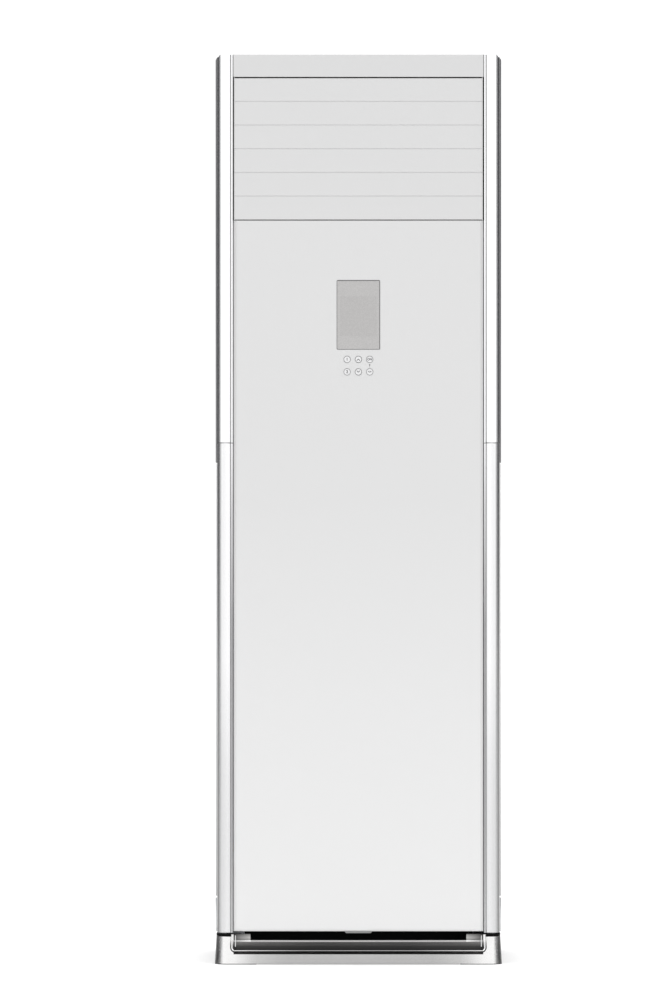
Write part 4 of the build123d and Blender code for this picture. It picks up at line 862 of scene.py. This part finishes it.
def makeTrimLine(side, hand):
    # hairline between trim strip and column, over both lengths
    look = trimLineLook
    low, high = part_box(f"{hand}_column_lower")
    inner = min(abs(low.x), abs(high.x))
    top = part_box(f"{hand}_column_upper")[1].z
    makeSideBlock(f"{hand}TrimLine", side, (inner - look["inward"], inner + look["outward"]),
                  (low.y - look["proud"], low.y + look["deep"]), (low.z, top - look["topGap"]),
                  "hairGrey", bodyOf(f"{hand}_column_lower"))


for side, hand in hands:
    makeEdgeStrips(side, hand)
    makeTrimLine(side, hand)


def cornerArc(middle, radius, steps, sweep=84):
    # points in plan round a front corner, from straight ahead towards the side
    for step in range(steps + 1):
        turn = math.radians(-90 + sweep * step / steps)
        away = Vector((math.cos(turn), math.sin(turn)))
        yield Vector(middle) + away * radius, away


jointLook = {"inner": 0.2624, "corner": 0.014, "stand": 0.0003, "high": 1.0722, "low": 1.0703, "steps": 12,
             "trimProud": 0.0002, "trimDeep": 0.0004, "trimDrop": 0.0004}


def makeColumnJoints():
    # thin line where the upper and lower column lengths meet, bent round the column's corner, with painted
    # shade along it
    look = jointLook
    stand = look["stand"]
    for side, hand in hands:
        low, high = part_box(f"{hand}_column_upper")
        body = bodyOf(f"{hand}_column_upper")
        outer = max(abs(low.x), abs(high.x))
        path = [(Vector((look["inner"], low.y)), Vector((0, -1)))]
        path += cornerArc((outer - look["corner"], low.y + look["corner"]), look["corner"], look["steps"])
        sections = []
        for place, away in path:
            outside = place + away * stand
            inside = place - away * stand
            sections.append([(side * at.x, at.y, z) for at, z in (
                (outside, look["low"]), (outside, look["high"]),
                (inside, look["high"]), (inside, look["low"]))])
        makeBentBar(f"{hand}ColumnJoint", sections, "shadedJointGrey", body)
        trimLow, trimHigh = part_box(f"{hand}_trim_strip")
        makeBlock(f"{hand}TrimJoint", (trimLow.x, trimLow.y - look["trimProud"], look["low"]),
                  (trimHigh.x, trimLow.y + look["trimDeep"], look["high"] - look["trimDrop"]),
                  "lineGrey", body)


makeColumnJoints()


footLook = {
    "inner": 0.2615,
    "corner": 0.026,
    "flare": 0.0035,           # how far the plinth's foot spreads past its top
    "stand": 0.00035,
    "low": 0.0044,             # the gap's lower edge below the plinth's top
    "rise": 0.0036,            # how much that edge rises at the outer end
    "topRise": 0.2,            # the upper edge's share of the rise
    "riseStart": 0.2865,
    "riseWide": 0.0055,
    "steps": 14,
}


def makeFootGaps():
    # painted shade: black strip in the gap between a column's foot and the plinth's shoulder, bent round
    # the corner
    look = footLook
    front = plinthLow.y + look["flare"] / 2
    middle = (plinthHigh.x - look["flare"] - look["corner"], front + look["corner"])
    path = [(Vector((look["inner"], front)), Vector((0, -1)))]
    path += cornerArc(middle, look["corner"], look["steps"])
    for side, hand in hands:
        sections = []
        for place, away in path:
            rise = look["rise"] * max(0, min(1, (place.x - look["riseStart"]) / look["riseWide"]))
            outside = place + away * look["stand"]
            inside = place - away * look["stand"]
            low = plinthHigh.z - look["low"] + rise
            high = plinthHigh.z + rise * look["topRise"]
            sections.append([(side * at.x, at.y, z) for at, z in (
                (outside, low), (outside, high), (inside, high), (inside, low))])
        makeBentBar(f"{hand}FootGap", sections, "paintedGapShade", plinthBody)


makeFootGaps()
print("outlet, recess and edges made")


# shapes for the display and the keys, flat in the door's face
def flatShape(name, outline, front, depth, material, body):
    # plate cut to an outline in (x, z), its front at y = front
    mesh = bmesh.new()
    growFace(mesh, [(x, front, z) for x, z in outline], (0, depth, 0))
    return newPiece(name, mesh, material, body)


def flatRing(name, centre, inner, outer, front, depth, material, body, turns=64):
    # washer round a key: a small rectangle spun about the key's axis
    x, z = centre
    mesh = bmesh.new()
    loop = [mesh.verts.new((x + radius, y, z)) for radius, y in
            ((inner, front + depth), (inner, front), (outer, front), (outer, front + depth))]
    edges = [mesh.edges.new((loop[i], loop[(i + 1) % 4])) for i in range(4)]
    bmesh.ops.spin(mesh, geom=loop + edges, cent=(x, 0, z), axis=(0, 1, 0), angle=math.tau,
                   steps=turns, use_merge=True)
    bmesh.ops.remove_doubles(mesh, verts=mesh.verts, dist=weldReach)
    return newPiece(name, mesh, material, body, roundAngle)


def roundedOutline(low, high, radius, steps=6):
    points = []
    left, right = low[0] + radius, high[0] - radius
    foot, top = low[1] + radius, high[1] - radius
    for x, z, start in ((right, top, 0), (left, top, 90), (left, foot, 180), (right, foot, 270)):
        for step in range(steps + 1):
            turn = math.radians(start + 90 * step / steps)
            points.append((x + radius * math.cos(turn), z + radius * math.sin(turn)))
    return points


def frameShape(name, low, high, radius, width, front, depth, material, body):
    # thin rounded frame line round a rectangle
    mesh = bmesh.new()
    inside = roundedOutline(low, high, radius)
    outside = roundedOutline([c - width for c in low], [c + width for c in high], radius + width)
    loops = []
    for outline in (inside, outside):
        verts = [mesh.verts.new((x, front, z)) for x, z in outline]
        loops += [mesh.edges.new((verts[i], verts[(i + 1) % len(verts)])) for i in range(len(verts))]
    flat = bmesh.ops.bridge_loops(mesh, edges=loops)
    grown = bmesh.ops.extrude_face_region(mesh, geom=flat["faces"])
    moved = [v for v in grown["geom"] if isinstance(v, bmesh.types.BMVert)]
    bmesh.ops.translate(mesh, verts=moved, vec=(0, depth, 0))
    return newPiece(name, mesh, material, body)


display = {
    "flange": 0.003,           # the pane is this much wider than its window all round
    "fieldWidth": 0.0743,      # the grey field that shows through the pane
    "fieldHeight": 0.0824,
    "fieldTopGap": 0.0331,     # window's top edge to the field
    "fieldCorner": 0.0012,
    "fieldProud": 0.00014,
    "outline": 0.0007,
    "outlineInset": 0.0010,
    "outlineCorner": 0.0022,
    "outlineProud": 0.00015,
    "outlineDepth": 0.0003,
    "paneShade": 0.0008,       # shaded band at the window's top; the one at the right is narrower
    "rightShare": 0.7,
    "shadeProud": 0.00012,
    "plate": 0.0002,           # depth of the field, the shade, the rings and the link
}


def makeDisplay():
    look = display
    paneLow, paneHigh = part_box("display_lens")
    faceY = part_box("front_panel")[0].y
    flange = look["flange"]
    edge = flange + look["outlineInset"]
    left, foot = paneLow.x + edge, paneLow.z + edge
    right, top = paneHigh.x - edge, paneHigh.z - edge
    frameShape("windowOutline", (left, foot), (right, top), look["outlineCorner"], look["outline"],
               faceY - look["outlineProud"], look["outlineDepth"], "lineGrey", "front_panel")
    # the recess shades the pane along its top and right edges
    wide = look["paneShade"]
    shadeFront, shadeBack = faceY - look["shadeProud"], faceY + look["plate"]
    makeBlock("paneShadeTop", (left, shadeFront, top - wide), (right, shadeBack, top), "lineGrey",
              "front_panel")
    makeBlock("paneShadeRight", (right - wide * look["rightShare"], shadeFront, foot),
              (right, shadeBack, top - wide), "lineGrey", "front_panel")
    fieldTop = paneHigh.z - flange - look["fieldTopGap"]
    half = look["fieldWidth"] / 2
    field = roundedOutline((-half, fieldTop - look["fieldHeight"]), (half, fieldTop), look["fieldCorner"])
    flatShape("displayField", field, paneLow.y - look["fieldProud"], look["plate"], "windowField",
              "front_panel")


keyLook = {
    "marks": {"button_mode": ("1", 1.35), "button_fan": ("2", 1.35), "button_power": ("ON", 1),
              "button_swing": ("<>", 1.05)},
    "markHeight": 0.0062,
    "boldness": 0.00022,
    "inkDepth": 0.00012,
    "ringInner": 0.0062,
    "ringOuter": 0.0070,
    "proud": 0.0001,
    "chevronWidth": 0.0068,
    "chevronRise": 0.0030,
    "chevronStroke": 0.0018,
    "chevronDepth": 0.00018,
    "middleHalf": 0.001,       # keys this near the unit's middle get the darker ring
    "linkWidth": 0.0007,       # line that joins the two right keys, with a small pad on it
    "linkPad": 0.0022,
    "linkTopGap": 0.0012,
    "linkFootGap": 0.0002,
}


def printed(name, words, height, centre, front, body):
    # raised print: words as a mesh, facing the front
    curve = bpy.data.curves.new(name, "FONT")
    curve.body = words
    curve.size = height
    curve.align_x = "CENTER"
    curve.align_y = "CENTER"
    curve.extrude = keyLook["inkDepth"] / 2
    curve.offset = keyLook["boldness"]
    holder = bpy.data.objects.new(name + "Curve", curve)
    scene.collection.objects.link(holder)
    bpy.context.view_layer.update()
    data = bpy.data.meshes.new_from_object(holder)
    bpy.data.objects.remove(holder)
    x, z = centre
    data.transform(Matrix.Translation((x, front, z)) @ Matrix.Rotation(math.radians(90), 4, "X"))
    data.name = name
    piece = bpy.data.objects.new(name, data)
    scene.collection.objects.link(piece)
    data.materials.clear()
    data.materials.append(finished["printGrey"])
    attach(piece, body)
    return piece


def boxCentre(node):
    # the middle of a node as seen from the front
    low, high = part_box(node)
    return (low.x + high.x) / 2, (low.z + high.z) / 2


def chevron(name, node, way):
    # arrow mark that points up where way is 1 and down where it is -1
    x, z = boxCentre(node)
    wide = keyLook["chevronWidth"] / 2
    rise = keyLook["chevronRise"] / 2 * way
    stroke = keyLook["chevronStroke"] * way
    outline = [(x - wide, z - rise), (x, z + rise), (x + wide, z - rise),
               (x + wide, z - rise - stroke), (x, z + rise - stroke), (x - wide, z - rise - stroke)]
    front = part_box(node)[0].y - keyLook["inkDepth"]
    flatShape(name, outline, front, keyLook["chevronDepth"], "printGrey", node)


def makeKeys():
    look = keyLook
    for node in buttons:
        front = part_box(node)[0].y
        centre = boxCentre(node)
        inMiddle = abs(centre[0]) < look["middleHalf"]
        flatRing(node + "_ring", centre, look["ringInner"], look["ringOuter"], front - look["proud"],
                 display["plate"], "printGrey" if inMiddle else "ringGrey", node)
        if node in look["marks"]:
            words, share = look["marks"][node]
            printed(node + "_mark", words, look["markHeight"] * share, centre, front, node)
    chevron("chevronUp", "button_up", 1)
    chevron("chevronDown", "button_down", -1)


def makeKeyLink():
    look = keyLook
    x = boxCentre("button_power")[0]
    wide = look["linkWidth"] / 2
    pad = look["linkPad"] / 2
    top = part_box("button_power")[0].z - look["linkTopGap"]
    neck = top - look["linkPad"] - look["linkTopGap"]
    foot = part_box("button_swing")[1].z + look["linkFootGap"]
    outline = [(x - wide, foot), (x + wide, foot), (x + wide, neck), (x + pad, neck), (x + pad, top),
               (x - pad, top), (x - pad, neck), (x - wide, neck)]
    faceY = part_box("front_panel")[0].y
    flatShape("keyLink", outline, faceY - look["proud"], display["plate"], "ringGrey", "front_panel")


makeDisplay()
makeKeys()
makeKeyLink()
print("display and keys made")


screwLook = {
    "head": 0.0036, "rise": 0.0013, "slot": 0.0007, "arm": 0.0021, "cut": 0.0002, "turns": 20,
    "smoothAngle": 50,
    "rows": 7,                 # on each side of the rear sheet
    "rearInset": 0.009,
    "rearEnd": 0.03,
    "ribs": 0.002,             # the pressed ribs stand this much behind the sheet
    "sideInset": 0.02,
    "sideTop": 0.03,
    "sideFoot": 0.02,
}


def screwHead(name, place, facing, body):
    # domed head with a cross cut in painted shade, turned so that it faces outwards
    look = screwLook
    head, rise = look["head"], look["rise"]
    mesh = bmesh.new()
    profile = [(0, rise), (head * 0.45, rise * 0.94), (head * 0.8, rise * 0.66), (head, rise * 0.18),
               (head, -look["cut"])]
    verts = [mesh.verts.new((radius, 0, height)) for radius, height in profile]
    edges = [mesh.edges.new(pair) for pair in zip(verts, verts[1:])]
    bmesh.ops.spin(mesh, geom=verts + edges, cent=(0, 0, 0), axis=(0, 0, 1), angle=math.tau,
                   steps=look["turns"], use_merge=True)
    bmesh.ops.remove_doubles(mesh, verts=mesh.verts, dist=weldReach)
    for turn in (0, 90):
        bar = bmesh.ops.create_cube(mesh, size=1)
        bmesh.ops.scale(mesh, vec=(look["arm"] * 2, look["slot"], look["cut"]), verts=bar["verts"])
        bmesh.ops.rotate(mesh, matrix=Matrix.Rotation(math.radians(turn), 3, "Z"), verts=bar["verts"])
        bmesh.ops.translate(mesh, vec=(0, 0, rise), verts=bar["verts"])
        for face in {f for v in bar["verts"] for f in v.link_faces}:
            face.material_index = 1
    turned = Vector((0, 0, 1)).rotation_difference(Vector(facing)).to_matrix().to_4x4()
    bmesh.ops.transform(mesh, matrix=Matrix.Translation(place) @ turned, verts=mesh.verts)
    piece = newPiece(name, mesh, "screwZinc", body, look["smoothAngle"])
    piece.data.materials.append(finished["paintedGapShade"])
    return piece


def makeScrews():
    look = screwLook
    rearLow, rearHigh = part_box("rear_panel")
    low = rearLow.z + look["rearEnd"]
    high = rearHigh.z - look["rearEnd"]
    for side, hand in hands:
        x = side * (rearHigh.x - look["rearInset"])
        for row in range(look["rows"]):
            place = (x, rearHigh.y - look["ribs"], low + (high - low) * row / (look["rows"] - 1))
            screwHead(f"rearScrew{hand[0].upper()}{row}", place, (0, 1, 0), bodyOf("rear_panel"))
    for side, hand in hands:
        node = f"{hand}_side_panel"
        low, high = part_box(node)
        ys = (low.y + look["sideInset"], high.y - look["sideInset"])
        corners = [(y, z) for z in (high.z - look["sideTop"], low.z + look["sideFoot"]) for y in ys]
        for index, (y, z) in enumerate(corners):
            screwHead(f"sideScrew{hand[0].upper()}{index}", (high.x if side > 0 else low.x, y, z),
                      (side, 0, 0), bodyOf(node))


makeScrews()
print("screws made")


# studio: white floor and surroundings, with a dark flag at each side for the silver to mirror
floorLook = {
    "wide": 20.0,
    "front": -2.4,             # the floor sheet ends here in front of the unit
    "back": 30.0,
    "colour": (0.93, 0.93, 0.93),
    "rough": 0.9,
    "glow": 0.22,
}

# places are parts of a direction's length: x to the side, y to the rear, z upwards
worldLook = {
    "white": (1.0, 1.0, 1.0),
    "low": (0.85, 0.85, 0.855),          # below the horizon, in front
    "flag": (0.12, 0.12, 0.13),
    "strength": 1.16,
    "frontFlag": (0.80, 0.995),          # x where a flag starts and where it is full
    "rearFlag": (0.12, 0.35),            # the same behind the unit
    "rear": (-0.15, 0.15),               # y where the front's flags change into the rear's
    "flagTop": (0.55, 0.165),            # z above which the flags end, and where they are full
    "horizon": (-0.06, 0.02),
}

softboxes = {
    "keyLeft": {"place": (-2.4, -4.2, 2.6), "aim": (0, 0, 1.1), "size": (1.6, 2.4), "power": 8},
    "keyRight": {"place": (2.4, -4.2, 2.6), "aim": (0, 0, 1.1), "size": (1.6, 2.4), "power": 8},
    "topFill": {"place": (0, 0.2, 4.2), "aim": (0, 0, 0), "size": (3.0, 3.0), "power": 20},
}


def makeFloor():
    look = floorLook
    mesh = bmesh.new()
    corners = [mesh.verts.new((x, y, 0)) for x, y in
               ((-look["wide"], look["front"]), (look["wide"], look["front"]),
                (look["wide"], look["back"]), (-look["wide"], look["back"]))]
    mesh.faces.new(corners)
    data = bpy.data.meshes.new("studioFloor")
    mesh.to_mesh(data)
    mesh.free()
    floor = bpy.data.objects.new("studioFloor", data)
    scene.collection.objects.link(floor)
    material, tree, shader = newMaterial("floorWhite")
    shader.inputs["Base Color"].default_value = (*look["colour"], 1)
    shader.inputs["Roughness"].default_value = look["rough"]
    shader.inputs["Emission Color"].default_value = (1, 1, 1, 1)
    shader.inputs["Emission Strength"].default_value = look["glow"]
    data.materials.append(material)


def fadeOn(tree, value, ends):
    # 0 before the first end and 1 after the second, with a soft step between them
    fade = addNode(tree, "ShaderNodeMapRange", interpolation_type="SMOOTHSTEP")
    fade.inputs["From Min"].default_value = ends[0]
    fade.inputs["From Max"].default_value = ends[1]
    tree.links.new(value, fade.inputs["Value"])
    return fade.outputs["Result"]


def combine(tree, operation, *values):
    node = addNode(tree, "ShaderNodeMath", operation=operation)
    for index, value in enumerate(values):
        tree.links.new(value, node.inputs[index])
    return node.outputs["Value"]


def makeWorld():
    # white surroundings between two dark flags at the sides, and duller below the horizon
    look = worldLook
    world = bpy.data.worlds.new("studioWorld")
    world.use_nodes = True
    scene.world = world
    tree = world.node_tree
    background = tree.nodes["Background"]
    coords = addNode(tree, "ShaderNodeTexCoord")
    split = addNode(tree, "ShaderNodeSeparateXYZ")
    tree.links.new(coords.outputs["Generated"], split.inputs["Vector"])
    aside = combine(tree, "ABSOLUTE", split.outputs["X"])
    rear = fadeOn(tree, split.outputs["Y"], look["rear"])
    flags = addNode(tree, "ShaderNodeMix", data_type="FLOAT")
    tree.links.new(rear, flags.inputs["Factor"])
    tree.links.new(fadeOn(tree, aside, look["frontFlag"]), flags.inputs["A"])
    tree.links.new(fadeOn(tree, aside, look["rearFlag"]), flags.inputs["B"])
    underTop = fadeOn(tree, split.outputs["Z"], look["flagTop"])
    inFlag = combine(tree, "MULTIPLY", flags.outputs["Result"], underTop)
    isWhite = combine(tree, "MAXIMUM", fadeOn(tree, split.outputs["Z"], look["horizon"]), rear)
    white = tinted(tree, isWhite, look["low"], look["white"])
    shade = addNode(tree, "ShaderNodeMix", data_type="RGBA")
    shade.inputs["B"].default_value = (*look["flag"], 1)
    tree.links.new(inFlag, shade.inputs["Factor"])
    tree.links.new(white, shade.inputs["A"])
    tree.links.new(shade.outputs["Result"], background.inputs["Color"])
    background.inputs["Strength"].default_value = look["strength"]


def makeSoftbox(name, look):
    data = bpy.data.lights.new(name, "AREA")
    data.shape = "RECTANGLE"
    data.size, data.size_y = look["size"]
    data.energy = look["power"]
    light = bpy.data.objects.new(name, data)
    light.location = look["place"]
    aim = Vector(look["aim"]) - Vector(look["place"])
    light.rotation_euler = aim.to_track_quat("-Z", "Y").to_euler()
    scene.collection.objects.link(light)


makeFloor()
makeWorld()
for name, look in softboxes.items():
    makeSoftbox(name, look)
print("studio ready")
